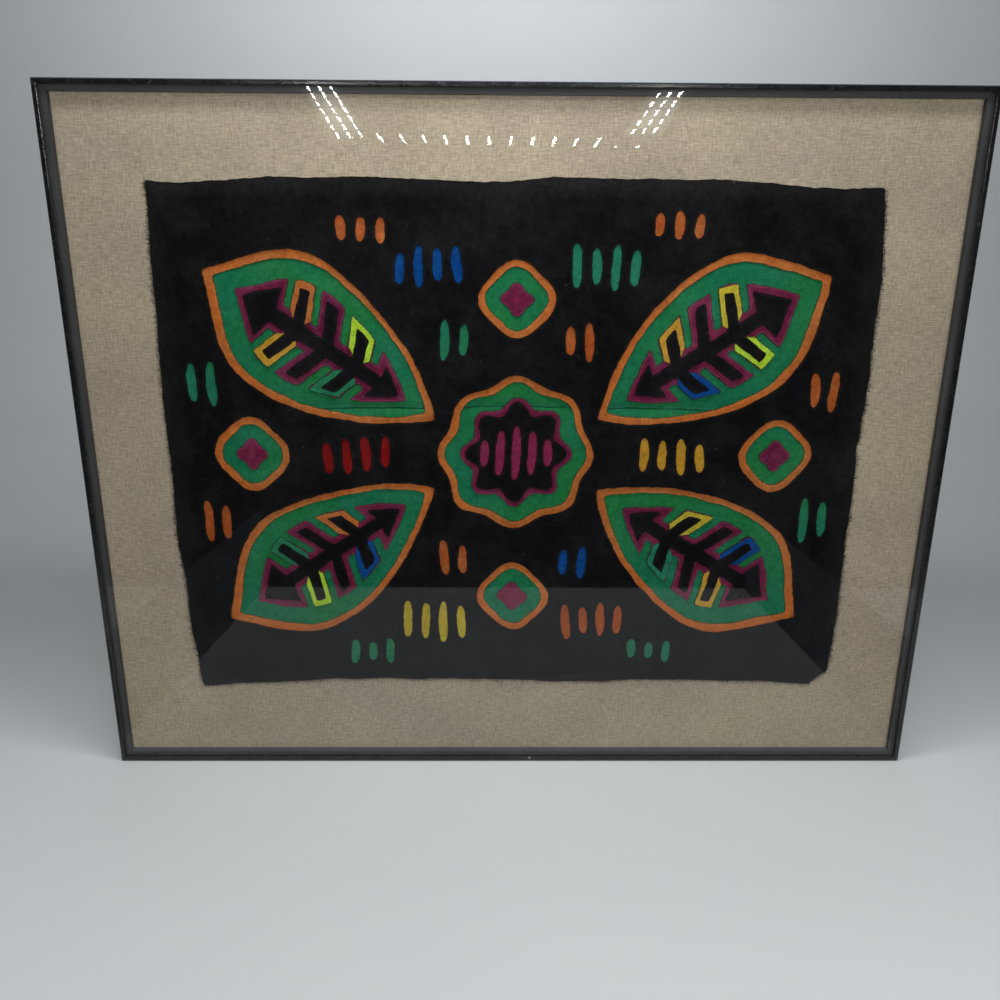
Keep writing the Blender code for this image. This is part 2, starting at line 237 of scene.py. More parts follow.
def place_of(tree):
    """The object's own coordinates, in metres."""
    return tree.nodes.new("ShaderNodeTexCoord").outputs["Object"]


# %% [markdown]
# ## Lacquer, spacer and board
# The rails are pressed metal with a thin, nearly black lacquer: glossy, a little uneven, and
# rubbed grey on the foremost edge and along the foot. The spacer behind the glass is matt grey
# plastic, and the board behind the linen is brown fibre that only shows from the back.

# %% Finishes of the hard parts
SCUFF_X = 0.009


def painted_upward_light(tree):
    """0 on upright faces, rising to 1 on faces that look up, which get painted light from above and a painted bluish
    reflection of the pale floor.
    """
    normal = tree.nodes.new("ShaderNodeNewGeometry").outputs["Normal"]
    return between(tree, node(tree, "SeparateXYZ", normal).node.outputs[2], 0.3, 0.9)


def lacquer():
    """Near-black gloss, cloudy and finely scratched, painted lighter and bluish on faces that look up, with one rubbed
    place on the lower lip.
    """
    finish, tree, shader = new_finish(
        "glossy_lacquer", ior=1.5, specular_ior_level=0.5, coat_weight=0.25, coat_roughness=0.20
    )
    place = place_of(tree)
    parts = node(tree, "SeparateXYZ", place).node
    low = between(tree, parts.outputs[2], 0.0050, 0.0038)
    off_scuff = sum_of(tree, "ABSOLUTE", sum_of(tree, "SUBTRACT", parts.outputs[0], SCUFF_X))
    scuffed = sum_of(tree, "MULTIPLY", low, between(tree, off_scuff, 0.008, 0.003))
    worn = sum_of(tree, "MAXIMUM", scuffed, between(tree, parts.outputs[1], -0.0150, -0.0160, 0.0, 0.10))
    specks = between(tree, grain(tree, place, (420, 420, 420), 3.0, 0.7), 0.56, 0.66)
    rubbed = sum_of(tree, "MULTIPLY", specks, worn)
    clouds = grain(tree, place, (60, 60, 60), 4.0, 0.6)
    scratches = between(tree, grain(tree, place, (90, 900, 900), 2.0), 0.62, 0.72)
    dust = between(tree, clouds, 0.45, 0.75, 0.0, 0.5)
    colour = mixed(tree, dust, (0.0040, 0.0043, 0.0050), (0.0105, 0.0112, 0.0125))
    # Painted light: faces that look up are made lighter and bluish, as lit from above and mirroring the floor.
    colour = mixed(tree, painted_upward_light(tree), colour, (0.043, 0.046, 0.056))
    colour = mixed(tree, rubbed, colour, (0.14, 0.14, 0.14))
    tree.links.new(colour, shader.inputs["Base Color"])
    shine = between(tree, clouds, 0.3, 0.7, 0.20, 0.34)
    shine = sum_of(tree, "ADD", shine, sum_of(tree, "MULTIPLY", scratches, 0.10))
    shine = sum_of(tree, "ADD", shine, sum_of(tree, "MULTIPLY", rubbed, 0.25))
    tree.links.new(shine, shader.inputs["Roughness"])
    height = sum_of(tree, "ADD", sum_of(tree, "MULTIPLY", clouds, 0.6), sum_of(tree, "MULTIPLY", rubbed, -0.4))
    bumped(tree, shader, height, 0.00002, 0.5)
    return finish


def spacer_plastic():
    """Matt grey with a fine grain."""
    finish, tree, shader = new_finish("matt_spacer", ior=1.46)
    place = place_of(tree)
    fine = grain(tree, place, (2200, 2200, 2200), 2.0)
    long = grain(tree, place, (35, 35, 35), 3.0)
    colour = mixed(tree, long, (0.028, 0.0275, 0.0295), (0.050, 0.0490, 0.0520))
    # Painted light: faces that look up are made lighter and bluish, as lit from above and mirroring the floor.
    colour = mixed(tree, painted_upward_light(tree), colour, (0.060, 0.066, 0.084))
    tree.links.new(colour, shader.inputs["Base Color"])
    tree.links.new(between(tree, fine, 0.3, 0.7, 0.48, 0.66), shader.inputs["Roughness"])
    bumped(tree, shader, fine, 0.00005, 0.6)
    return finish


def fibre_board():
    """Brown pressed fibre: short pale and dark flecks on an uneven ground."""
    finish, tree, shader = new_finish("pressed_fibre", roughness=0.92, ior=1.4)
    place = place_of(tree)
    flecks = grain(tree, place, (900, 900, 260), 3.0, 0.7)
    ground = grain(tree, place, (40, 40, 40), 3.0)
    colour = mixed(tree, ground, (0.24, 0.165, 0.10), (0.34, 0.245, 0.155))
    colour = mixed(tree, between(tree, flecks, 0.56, 0.72), colour, (0.46, 0.36, 0.25))
    colour = mixed(tree, between(tree, flecks, 0.42, 0.30), colour, (0.13, 0.085, 0.05))
    tree.links.new(colour, shader.inputs["Base Color"])
    bumped(tree, shader, flecks, 0.0002, 0.7)
    return finish


def clear_glass():
    """Clear glass, coated to mirror little, that lets the lamps' light straight through."""
    finish, tree, shader = new_finish(
        "still_glass", roughness=0.0, ior=1.28, transmission_weight=1.0, base_color=(0.965, 0.985, 0.975, 1.0)
    )
    through = node(tree, "BsdfTransparent", (0.95, 0.97, 0.96, 1.0))
    light_path = tree.nodes.new("ShaderNodeLightPath")
    either = node(tree, "MixShader", light_path.outputs["Is Shadow Ray"], shader.outputs[0], through)
    tree.links.new(either, tree.nodes["Material Output"].inputs["Surface"])
    return finish


hard_finishes = {
    "rail": lacquer(),
    "spacer": spacer_plastic(),
    "glass": clear_glass(),
    "mount": fibre_board(),
}
for name, part in nodes.items():
    finish = hard_finishes.get(name.split("_")[0])
    if finish:
        for place in part.material_slots:
            place.material = finish
        print("finished", name, "with", finish.name)

# %% [markdown]
# ## Woven finishes
# Cotton and linen are both plain weaves: one thread goes over and under the next. In a plain
# weave the height is high on each thread's middle, and at every crossing either the upright or the
# level thread is on top. Two sine waves give both: their sizes make the threads, and their product
# says which thread is over. Each thread also has its own tone, made by noise that is stretched
# along the thread, and linen has slubs, the thick short places of a hand-spun thread.

# %% Weave helper
def woven(tree, place, pitch, wander):
    """Height of a plain weave, from 0 to 1, and the tones of its upright and its level threads."""
    loose_up = grain(tree, place, (0.35 / pitch, 1, 0.06 / pitch), 2.0)
    loose_level = grain(tree, place, (0.06 / pitch, 1, 0.35 / pitch), 2.0)
    parts = node(tree, "SeparateXYZ", place).node
    across = sum_of(tree, "MULTIPLY_ADD", loose_up, wander, parts.outputs[0])
    upwards = sum_of(tree, "MULTIPLY_ADD", loose_level, wander, parts.outputs[2])
    wave_x = sum_of(tree, "SINE", sum_of(tree, "MULTIPLY", across, math.pi / pitch))
    wave_z = sum_of(tree, "SINE", sum_of(tree, "MULTIPLY", upwards, math.pi / pitch))
    over = between(tree, sum_of(tree, "MULTIPLY", wave_x, wave_z), -0.5, 0.5)
    upright = sum_of(tree, "MULTIPLY", sum_of(tree, "ABSOLUTE", wave_x), over)
    under = sum_of(tree, "SUBTRACT", 1.0, over)
    level = sum_of(tree, "MULTIPLY", sum_of(tree, "ABSOLUTE", wave_z), under)
    height = sum_of(tree, "ADD", upright, level)
    up_tone = grain(tree, place, (0.9 / pitch, 1, 0.10 / pitch), 1.0)
    level_tone = grain(tree, place, (0.10 / pitch, 1, 0.9 / pitch), 1.0)
    return height, over, up_tone, level_tone


def shaded(tree, colour, by, amount):
    """A colour made lighter or darker by noise from 0 to 1, by an amount to each side."""
    tone = between(tree, by, 0.25, 0.75, 1 - amount, 1 + amount)
    return mixed(tree, 1.0, colour, node(tree, "CombineColor", tone, tone, tone), "MULTIPLY")


# %% Linen finish
LINEN_PITCH = 0.00062


def linen_weave():
    """Natural linen: a loose plain weave with slubs both ways, in cloudy beige, with painted shade in the gaps between
    threads.
    """
    finish, tree, shader = new_finish("loose_linen", roughness=0.9, ior=1.4, specular_ior_level=0.3, sheen_weight=0.06)
    place = place_of(tree)
    height, over, up_tone, level_tone = woven(tree, place, LINEN_PITCH, 0.0006)
    slub_up = between(tree, grain(tree, place, (1250, 1, 170), 2.0), 0.58, 0.72)
    slub_level = between(tree, grain(tree, place, (170, 1, 1250), 2.0), 0.58, 0.72)
    clouds = grain(tree, place, (26, 1, 26), 4.0, 0.6)
    warm = grain(tree, place, (11, 1, 13), 2.0)
    mottle = grain(tree, place, (620, 1, 620), 2.0)
    colour = mixed(tree, between(tree, warm, 0.3, 0.7), (0.271, 0.217, 0.175), (0.299, 0.245, 0.174))
    colour = shaded(tree, colour, clouds, 0.10)
    colour = shaded(tree, colour, mottle, 0.14)
    colour = shaded(tree, colour, up_tone, 0.18)
    colour = shaded(tree, colour, level_tone, 0.20)
    colour = mixed(tree, sum_of(tree, "MULTIPLY", slub_level, 0.42), colour, (0.374, 0.322, 0.250))
    colour = mixed(tree, sum_of(tree, "MULTIPLY", slub_up, 0.38), colour, (0.168, 0.127, 0.086))
    # Painted shade: the low places between threads are darkened.
    thread_gap_shade = between(tree, height, 0.10, 0.55, 0.62, 1.0)
    colour = mixed(tree, 1.0, colour, node(tree, "CombineColor", thread_gap_shade, thread_gap_shade, thread_gap_shade), "MULTIPLY")
    tree.links.new(colour, shader.inputs["Base Color"])
    slubs = sum_of(tree, "ADD", slub_up, slub_level)
    bumped(tree, shader, sum_of(tree, "MULTIPLY_ADD", slubs, 0.5, height), 0.00018, 0.7)
    return finish


linen_finish = linen_weave()

# %% [markdown]
# ## Cotton
# The panel's cottons are plain dyed cloths, washed and handled. The dye is a little cloudy, single threads are lighter
# or darker, and each turned edge is rubbed paler. Shade is painted dark in the last half millimetre inside each turned
# edge, by the fold attribute's distance from the edge, and in the gaps between threads. One function makes all colours,
# from a main tone, a faded one and one that the dye drifts to.

# %% Cotton finish
COTTON_PITCH = 0.00042
COTTONS = {
    "black_cotton": ((0.0034, 0.0033, 0.0038), (0.0165, 0.0158, 0.0165), (0.0046, 0.0044, 0.0053)),
    "green_cotton": ((0.007, 0.100, 0.047), (0.027, 0.157, 0.100), (0.011, 0.110, 0.030)),
    "orange_cotton": ((0.320, 0.083, 0.017), (0.373, 0.153, 0.057), (0.267, 0.077, 0.020)),
    "magenta_cotton": ((0.098, 0.009, 0.030), (0.215, 0.048, 0.100), (0.073, 0.007, 0.027)),
    "blue_cotton": ((0.002, 0.035, 0.152), (0.012, 0.070, 0.218), (0.002, 0.027, 0.123)),
    "jade_cotton": ((0.0105, 0.106, 0.062), (0.031, 0.156, 0.105), (0.012, 0.110, 0.046)),
    "yellow_cotton": ((0.328, 0.252, 0.019), (0.392, 0.333, 0.060), (0.295, 0.212, 0.016)),
    "gold_cotton": ((0.330, 0.176, 0.017), (0.380, 0.245, 0.052), (0.308, 0.142, 0.013)),
    "lime_cotton": ((0.280, 0.400, 0.020), (0.370, 0.500, 0.080), (0.230, 0.360, 0.015)),
    "red_cotton": ((0.138, 0.004, 0.005), (0.205, 0.020, 0.018), (0.108, 0.003, 0.004)),
}
UNFADED = {"orange_cotton": (0.235, 0.050, 0.012), "magenta_cotton": (0.145, 0.013, 0.045)}


def margin(tree, place):
    """0 over the panel, rising to 0.5 in the last few millimetres before its raw edges."""
    parts = node(tree, "SeparateXYZ", place).node
    across = sum_of(tree, "ABSOLUTE", sum_of(tree, "DIVIDE", parts.outputs[0], 0.206))
    upwards = sum_of(tree, "ABSOLUTE", sum_of(tree, "DIVIDE", sum_of(tree, "SUBTRACT", parts.outputs[2], PANEL_MIDDLE), 0.155))
    return between(tree, sum_of(tree, "MAXIMUM", across, upwards), 0.93, 1.0, 0.0, 0.5)


def cotton(name, tones):
    """Plain-woven cotton in a dyed tone that drifts and is blotchy, with paler threads and rubbed folds, and painted
    shade just inside its turned edges and in the gaps between threads.
    """
    main, faded, drifted = tones
    finish, tree, shader = new_finish(f"dyed_{name}", roughness=0.92, ior=1.4, specular_ior_level=0.12)
    place = place_of(tree)
    height, over, up_tone, level_tone = woven(tree, place, COTTON_PITCH, 0.0003)
    fold = tree.nodes.new("ShaderNodeAttribute")
    fold.attribute_name = "fold"
    rub = between(tree, fold.outputs["Fac"], 0.0004, 0.0015, 0.70, 0.0)
    specks = grain(tree, place, (1500, 1500, 1500), 2.0, 0.7)
    rub = sum_of(tree, "MULTIPLY", rub, between(tree, specks, 0.35, 0.65))
    clouds = grain(tree, place, (45, 45, 45), 4.0, 0.65)
    blotches = grain(tree, place, (330, 330, 330), 3.0, 0.6)
    worn = sum_of(tree, "ADD", rub, between(tree, clouds, 0.45, 0.80, 0.0, 0.45))
    if name == "black_cotton":
        worn = sum_of(tree, "ADD", worn, sum_of(tree, "MULTIPLY", margin(tree, place), between(tree, specks, 0.3, 0.6)))
    drift = between(tree, grain(tree, place, (14, 14, 14), 2.0), 0.45, 0.62)
    dyed = mixed(tree, drift, main, drifted)
    if name in UNFADED:
        dyed = mixed(tree, between(tree, fold.outputs["Fac"], 0.0048, 0.0062), dyed, UNFADED[name])
    colour = mixed(tree, worn, dyed, faded)
    colour = shaded(tree, colour, blotches, 0.35 if name == "black_cotton" else 0.22)
    colour = shaded(tree, colour, up_tone, 0.18)
    colour = shaded(tree, colour, level_tone, 0.18)
    # Painted shade: the low places between threads are darkened.
    thread_gap_shade = between(tree, height, 0.10, 0.55, 0.70, 1.0)
    # Painted shade: the cloth is darkened in the last half millimetre inside each turned edge, where the fold would
    # cast shade.
    under = between(tree, fold.outputs["Fac"], 0.00010, 0.00046, 0.16, 1.0)
    shade = sum_of(tree, "MULTIPLY", thread_gap_shade, under)
    colour = mixed(tree, 1.0, colour, node(tree, "CombineColor", shade, shade, shade), "MULTIPLY")
    tree.links.new(colour, shader.inputs["Base Color"])
    creases = sum_of(tree, "ADD", grain(tree, place, (45, 1, 210), 2.0), grain(tree, place, (120, 1, 60), 2.0))
    fine = sum_of(tree, "MULTIPLY_ADD", specks, 0.35, height)
    bumped(tree, shader, sum_of(tree, "MULTIPLY_ADD", creases, 5.0, fine), 0.00008, 0.8)
    return finish


def slot_of(colour):
    """The record's slot for a cotton: lime is a brighter yellow."""
    return "yellow_cotton" if colour == "lime_cotton" else colour


cottons = {name: cotton(name, tones) for name, tones in COTTONS.items()}
print("woven finishes:", ["linen", *cottons])

# %% [markdown]
# ## The linen mount
# The linen is one cloth that is drawn over the front of the board, round its edges and onto its
# back. It could be a box with a texture, but then its folded corners would be square cuts. Here the
# front is a grid of points, and its border is carried outwards along a profile: round the front
# edge, along the side, round the back edge and inwards. The same walk a little inside gives the
# cloth's other face, so the sheet has a real thickness and is closed.

# %% Linen sheet
LINEN_STEP = 0.005
LINEN_OUTER = 0.0019
LINEN_THICKNESS = 0.0009
LINEN_BACK = 0.0301
LINEN_MARGIN = 0.022
LINEN_ROUNDING = 0.0012
ARC = np.radians(np.linspace(0, 90, 5))


def wrap_profile(outer, front, back, rounding):
    """Insets and depths of the walk from the front's border to the end of the turned margin."""
    inset = [outer + rounding * (1 - np.sin(ARC)), outer + rounding * (1 - np.cos(ARC))]
    depth = [front + rounding * (1 - np.cos(ARC)), back - rounding * (1 - np.sin(ARC))]
    ends = np.array([0.006, 0.013, LINEN_MARGIN]) + LINEN_OUTER
    return np.concatenate([*inset, ends]), np.concatenate([*depth, np.full(3, back)])


def border_of(count_x, count_z):
    """The numbers of a grid's border points, once round."""
    grid = np.arange(count_x * count_z).reshape(count_z, count_x)
    return np.concatenate([grid[0, :-1], grid[:-1, -1], grid[-1, :0:-1], grid[:0:-1, 0]])


def linen_face(outer, front, back, rounding):
    """One face of the sheet: the front grid, then rings of its border carried along the profile."""
    inset, depth = wrap_profile(outer, front, back, rounding)
    half_x, half_z = FRAME_WIDTH / 2 - inset[0], FRAME_HEIGHT / 2 - inset[0]
    count_x, count_z = round(2 * half_x / LINEN_STEP), round(2 * half_z / LINEN_STEP)
    x, z = np.meshgrid(np.linspace(-1, 1, count_x), np.linspace(-1, 1, count_z))
    flat = np.column_stack([x.ravel() * half_x, z.ravel() * half_z])
    slack = 0.00010 * waves(flat, 11, 0.05) + 0.00005 * waves(flat, 12, 0.018)
    near_edge = np.minimum(half_x - abs(flat[:, 0]), half_z - abs(flat[:, 1]))
    rise = slack * np.clip(near_edge / 0.01, 0, 1)
    grid = np.column_stack([flat[:, 0], front - FRAME_DEPTH / 2 + rise, FRAME_HEIGHT / 2 + flat[:, 1]])
    border = border_of(count_x, count_z)
    share_x, share_z = x.ravel()[border], z.ravel()[border]
    rings = np.stack(
        [
            share_x * (FRAME_WIDTH / 2 - inset[1:, None]),
            np.repeat(depth[1:, None] - FRAME_DEPTH / 2, len(border), axis=1),
            FRAME_HEIGHT / 2 + share_z * (FRAME_HEIGHT / 2 - inset[1:, None]),
        ],
        axis=2,
    )
    number = np.arange(count_x * count_z).reshape(count_z, count_x)
    faces = [number[:-1, :-1], number[:-1, 1:], number[1:, 1:], number[1:, :-1]]
    faces = [np.stack(faces, axis=2).reshape(-1, 4)]
    loops = np.vstack([border, count_x * count_z + np.arange(rings[..., 0].size).reshape(len(rings), -1)])
    beside = np.roll(loops, -1, axis=1)
    faces.append(np.stack([loops[:-1], loops[1:], beside[1:], beside[:-1]], axis=2).reshape(-1, 4))
    return np.vstack([grid, rings.reshape(-1, 3)]), np.vstack(faces), loops[-1]


outer_points, outer_faces, outer_rim = linen_face(LINEN_OUTER, LINEN_FRONT, LINEN_BACK, LINEN_ROUNDING)
inner_points, inner_faces, inner_rim = linen_face(
    LINEN_OUTER + LINEN_THICKNESS, LINEN_FRONT + LINEN_THICKNESS, LINEN_BACK - LINEN_THICKNESS, 0.0003
)

shift = len(outer_points)
rim = np.column_stack([outer_rim, inner_rim + shift, np.roll(inner_rim, -1) + shift, np.roll(outer_rim, -1)])
linen = make_piece(
    "linen_mount",
    np.vstack([outer_points, inner_points]),
    [outer_faces, inner_faces[:, ::-1] + shift, rim],
    linen_finish,
    "linen",
    ["linen_cover"],
)
print("linen points:", len(linen.data.vertices))

# %% [markdown]
# ## Drawing the panel
# The design is generic: an eight-petalled flower, four leaves with slots like a fern's, four buds,
# and groups of upright slits. It is drawn with formulas, in closed loops of points, and one shape
# grows outwards to give the edges of the cloths beneath it: black, then its rim, green and orange.

# %% Panel outline
PANEL_HALF = (0.206, 0.155)
PANEL_EDGE = np.array(
    (
        (-0.2060, 0.1550), (-0.1880, 0.1526), (-0.1030, 0.1558), (-0.0210, 0.1551), (0.0230, 0.1570),
        (0.0720, 0.1560), (0.1220, 0.1544), (0.1820, 0.1522), (0.2030, 0.1530), (0.2072, 0.0950),
        (0.2080, 0.0340), (0.2056, -0.0500), (0.2050, -0.1434), (0.1950, -0.1533), (0.1250, -0.1518),
        (0.0570, -0.1527), (-0.0400, -0.1496), (-0.1180, -0.1519), (-0.1940, -0.1557), (-0.2000, -0.1556),
        (-0.2078, -0.0600), (-0.2060, 0.0380),
    )
)  # fmt: skip


def resampled(loop, step):
    """A closed loop as points an equal step apart along it."""
    closed = np.vstack([loop, loop[:1]])
    run = np.concatenate([[0.0], np.cumsum(np.hypot(*np.diff(closed, axis=0).T))])
    count = max(12, round(run[-1] / step))
    places = np.arange(count) * run[-1] / count
    return np.column_stack([np.interp(places, run, closed[:, axis]) for axis in (0, 1)])


def softened(loop, times):
    """A loop whose corners are rounded: each point moves half way to the middle of its neighbours."""
    for _ in range(times):
        loop = (np.roll(loop, 1, axis=0) + 2 * loop + np.roll(loop, -1, axis=0)) / 4
    return loop


def panel_edge(inset):
    """The panel's outline drawn in towards its middle."""
    return PANEL_EDGE * (1 - inset / np.array(PANEL_HALF))


def lobed(centre, radius, lobes, lobe_height):
    """A round loop whose radius swells at each lobe: radius plus height times the cosine of lobes turns."""
    angle = np.linspace(0, 2 * math.pi, 360, endpoint=False)
    reach = radius + lobe_height * np.cos(lobes * angle)
    return np.column_stack([centre[0] + reach * np.cos(angle), centre[1] + reach * np.sin(angle)])


print("panel edge corners:", len(PANEL_EDGE))

# %% Flower, buds and slits
FLOWER_RADIUS, FLOWER_PETAL_HEIGHT = 0.027, 0.0035
FLOWER_SLIT_PITCH = 0.0095
FLOWER_SLIT_HEIGHTS = (0.017, 0.029, 0.034, 0.028, 0.018)
BUD_PLACES = {"top": (0.0, 0.091), "bottom": (0.0, -0.091), "left": (-0.156, 0.0), "right": (0.156, 0.0)}
BUD_GREEN_REVEAL = 0.0085
SLIT_WIDTH, SLIT_FULLNESS = 0.0056, 0.60
SLIT_GROUPS = (
    ("blue", -0.050, 0.109, 4, 0.0110, 0.021),
    ("jade", 0.051, 0.109, 4, 0.0112, 0.024),
    ("yellow", -0.050, -0.108, 4, 0.0114, 0.026),
    ("orange", 0.050, -0.109, 4, 0.0110, 0.022),
    ("orange", -0.088, 0.130, 3, 0.0112, 0.014),
    ("orange", 0.090, 0.130, 3, 0.0112, 0.015),
    ("jade", -0.090, -0.130, 3, 0.0112, 0.016),
    ("jade", 0.088, -0.129, 3, 0.0112, 0.014),
    ("red", -0.094, 0.000, 4, 0.0112, 0.022),
    ("gold", 0.093, -0.001, 4, 0.0112, 0.021),
    ("jade", -0.037, 0.067, 2, 0.0112, 0.022),
    ("orange", 0.037, 0.067, 2, 0.0112, 0.020),
    ("orange", -0.037, -0.067, 2, 0.0112, 0.021),
    ("blue", 0.037, -0.067, 2, 0.0112, 0.020),
    ("jade", -0.182, 0.040, 2, 0.0110, 0.026),
    ("orange", 0.182, 0.039, 2, 0.0110, 0.024),
    ("orange", -0.181, -0.041, 2, 0.0110, 0.025),
    ("jade", 0.182, -0.040, 2, 0.0110, 0.027),
)


def flower(growth):
    """The flower, grown outwards from its black shape; its petals flatten as it grows."""
    height = FLOWER_PETAL_HEIGHT * FLOWER_RADIUS / (FLOWER_RADIUS + growth)
    return lobed((0.0, 0.0), FLOWER_RADIUS + growth, 8, height)


def bud(centre, growth):
    """A small bud, grown outwards from its core."""
    return lobed(centre, 0.0085 + growth, 4, 0.0014)


def slit(x, z, height, lean=0.0):
    """An upright slit that narrows to round ends, leaning by a share of its height.

    With turn t, side = radius * cos(t) and rise = height / 2 * |sin(t)| ** SLIT_FULLNESS, down for t over pi.
    """
    turn = np.linspace(0, 2 * math.pi, 40, endpoint=False)
    side = SLIT_WIDTH / 2 * np.cos(turn)
    rise = height / 2 * np.sign(np.sin(turn)) * abs(np.sin(turn)) ** SLIT_FULLNESS
    return np.column_stack([x + side + lean * rise, z + rise])


def slits_of(group):
    """The loops of one group of slits, each a little different in height, level and lean."""
    _, x, z, count, pitch, height = group
    loops = []
    for i in range(count):
        phase = 7.0 * i + 90 * x + 60 * z
        own_x = x + (i - (count - 1) / 2) * pitch
        own_z = z + 0.0016 * math.sin(1.7 * phase)
        own_height = height * (1 + 0.14 * math.sin(2.3 * phase))
        loops.append(slit(own_x, own_z, own_height, 0.04 * math.sin(phase)))
    return loops


def patch_under(group, growth):
    """The patch that shows through one group of slits, as a rectangle grown by growth."""
    _, x, z, count, pitch, height = group
    half_width = (count - 1) * pitch / 2 + SLIT_WIDTH / 2 + 0.002 + growth
    half_height = 1.14 * height / 2 + 0.0016 + 0.002 + growth
    corners = np.array(((-1, -1), (1, -1), (1, 1), (-1, 1)))
    return np.array((x, z)) + corners * (half_width, half_height)


flower_slits = [slit((i - 2) * FLOWER_SLIT_PITCH, 0.0, h) for i, h in enumerate(FLOWER_SLIT_HEIGHTS)]
all_slits = [loop for group in SLIT_GROUPS for loop in slits_of(group)]
print("slits:", len(all_slits) + len(flower_slits))

# %% Leaves
QUARTERS = {"upper_right": (1, 1), "upper_left": (-1, 1), "lower_right": (1, -1), "lower_left": (-1, -1)}
LEAF_HALF_LENGTH, LEAF_HALF_WIDTH = 0.052, 0.024
LEAF_CENTRE, LEAF_ANGLE = (0.113, 0.064), math.radians(33)
LEAF_TIP_STRETCH, LEAF_SLANT = 1.47, 0.42
LEAF_SPINE, LEAF_SLOT = 0.004, 0.006
LEAF_SLOT_PLACES = (-0.032, -0.013, 0.006, 0.025)


def leaf_width(along, growth):
    """Half the leaf's width at a place along it: a parabola between its two tips."""
    half_length = LEAF_HALF_LENGTH + growth * LEAF_TIP_STRETCH
    return (LEAF_HALF_WIDTH + growth) * (1 - (along / half_length) ** 2)


def edge_run(start, end, growth):
    """The leaf's edge between two places along it, as (along, out)."""
    along = np.linspace(start, end, max(2, round(abs(end - start) / 0.001)))
    return np.column_stack([along, leaf_width(along, growth)])


def leaf_side(growth, slotted):
    """One side of a leaf, from stalk to tip, with its slots cut in towards the spine."""
    tip = LEAF_HALF_LENGTH + growth * LEAF_TIP_STRETCH
    half_slot, spine = LEAF_SLOT - growth, LEAF_SPINE + growth
    middles = LEAF_SLOT_PLACES if slotted else ()
    starts = [-tip] + [middle + half_slot for middle in middles]
    ends = [middle - half_slot for middle in middles] + [tip]
    side = []
    for start, end in zip(starts, ends):
        side.append(edge_run(start, end, growth))
        if end < tip:
            side.append(np.array(((end, spine), (end + 2 * half_slot, spine))))
    return np.vstack(side)


def on_panel(points, growth, signs):
    """Places along and out from a leaf's middle line, as x and z: slanted forwards, turned and mirrored."""
    along, out = points[:, 0], points[:, 1]
    tip = LEAF_HALF_LENGTH + growth * LEAF_TIP_STRETCH
    along = along + LEAF_SLANT * abs(out) * (1 - (along / tip) ** 2)
    cosine, sine = math.cos(LEAF_ANGLE), math.sin(LEAF_ANGLE)
    x = LEAF_CENTRE[0] + along * cosine - out * sine
    z = LEAF_CENTRE[1] + along * sine + out * cosine
    return np.column_stack([x, z]) * signs


def leaf(growth, slotted, signs):
    """A leaf of one quarter of the panel, grown outwards from its black shape."""
    upper = leaf_side(growth, slotted)
    lower = upper[-2:0:-1] * (1, -1)
    return on_panel(np.vstack([upper, lower]), growth, signs)


def finger_rim(signs, side, finger, near, far):
    """A U round one finger of a leaf: its edge grown by far, then back along its edge grown by near."""
    runs = []
    for growth in (far, near):
        start = LEAF_SLOT_PLACES[finger - 1] + LEAF_SLOT - growth
        end = LEAF_SLOT_PLACES[finger] - LEAF_SLOT + growth
        spine = LEAF_SPINE + growth + 0.0006
        run = np.vstack([((start, spine),), edge_run(start, end, growth), ((end, spine),)])
        runs.append(on_panel(run * (1, side), growth, signs))
    return np.vstack([runs[0], runs[1][::-1]])


print("a leaf's outline in mm:", (1000 * np.ptp(leaf(0.0, True, (1, 1)), axis=0)).round(1))

# %% [markdown]
# ## How a sewn cloth gets its shape
# A turned edge is a fold: the surface curves down as a quarter circle, and behind it the cloth is
# double for about two millimetres, so it stands higher there. Each stitch pulls the fold down a
# little. All of that depends on one number, the distance to the nearest edge. So the cloth's points
# are put where the surface bends: on the edge, on rings just inside it, and on a wide lattice
# elsewhere. A Delaunay triangulation joins them and leaves the windows open.

# %% Distance to an edge
CHUNK = 1500


def to_loop(points, loop, reach):
    """Distance of points to a loop, up to reach, and whether each lies inside it, by counting crossings."""
    start, run = loop, np.roll(loop, -1, axis=0) - loop
    length = np.maximum((run**2).sum(axis=1), 1e-18)
    distance, enclosed = np.full(len(points), reach), np.zeros(len(points), bool)
    for first in range(0, len(points), CHUNK):
        own = points[first : first + CHUNK]
        x, z = own[:, :1] - start[:, 0], own[:, 1:] - start[:, 1]
        straddles = (z >= 0) != (z >= run[:, 1])
        slope = np.divide(run[:, 0], run[:, 1], out=np.zeros(len(run)), where=run[:, 1] != 0)
        enclosed[first : first + CHUNK] = (straddles & (x < z * slope)).sum(axis=1) % 2 == 1
        share = np.clip((x * run[:, 0] + z * run[:, 1]) / length, 0, 1)
        off = (x - share * run[:, 0]) ** 2 + (z - share * run[:, 1]) ** 2
        distance[first : first + CHUNK] = np.sqrt(off.min(axis=1))
    return np.minimum(distance, reach), enclosed


def inside_by(points, outline, windows, reach=0.009):
    """How far points lie inside the outline and outside all windows, each up to reach, negative beyond."""
    from_outline, from_windows = np.full(len(points), reach), np.full(len(points), reach)
    for loop in (outline, *windows):
        near = np.flatnonzero(((points > loop.min(axis=0) - reach) & (points < loop.max(axis=0) + reach)).all(axis=1))
        distance, enclosed = to_loop(points[near], loop, reach)
        if loop is outline:
            from_outline[:] = -reach
            from_outline[near] = np.where(enclosed, distance, -distance)
        else:
            signed = np.where(enclosed, -distance, distance)
            from_windows[near] = np.minimum(from_windows[near], signed)
    return from_outline, from_windows


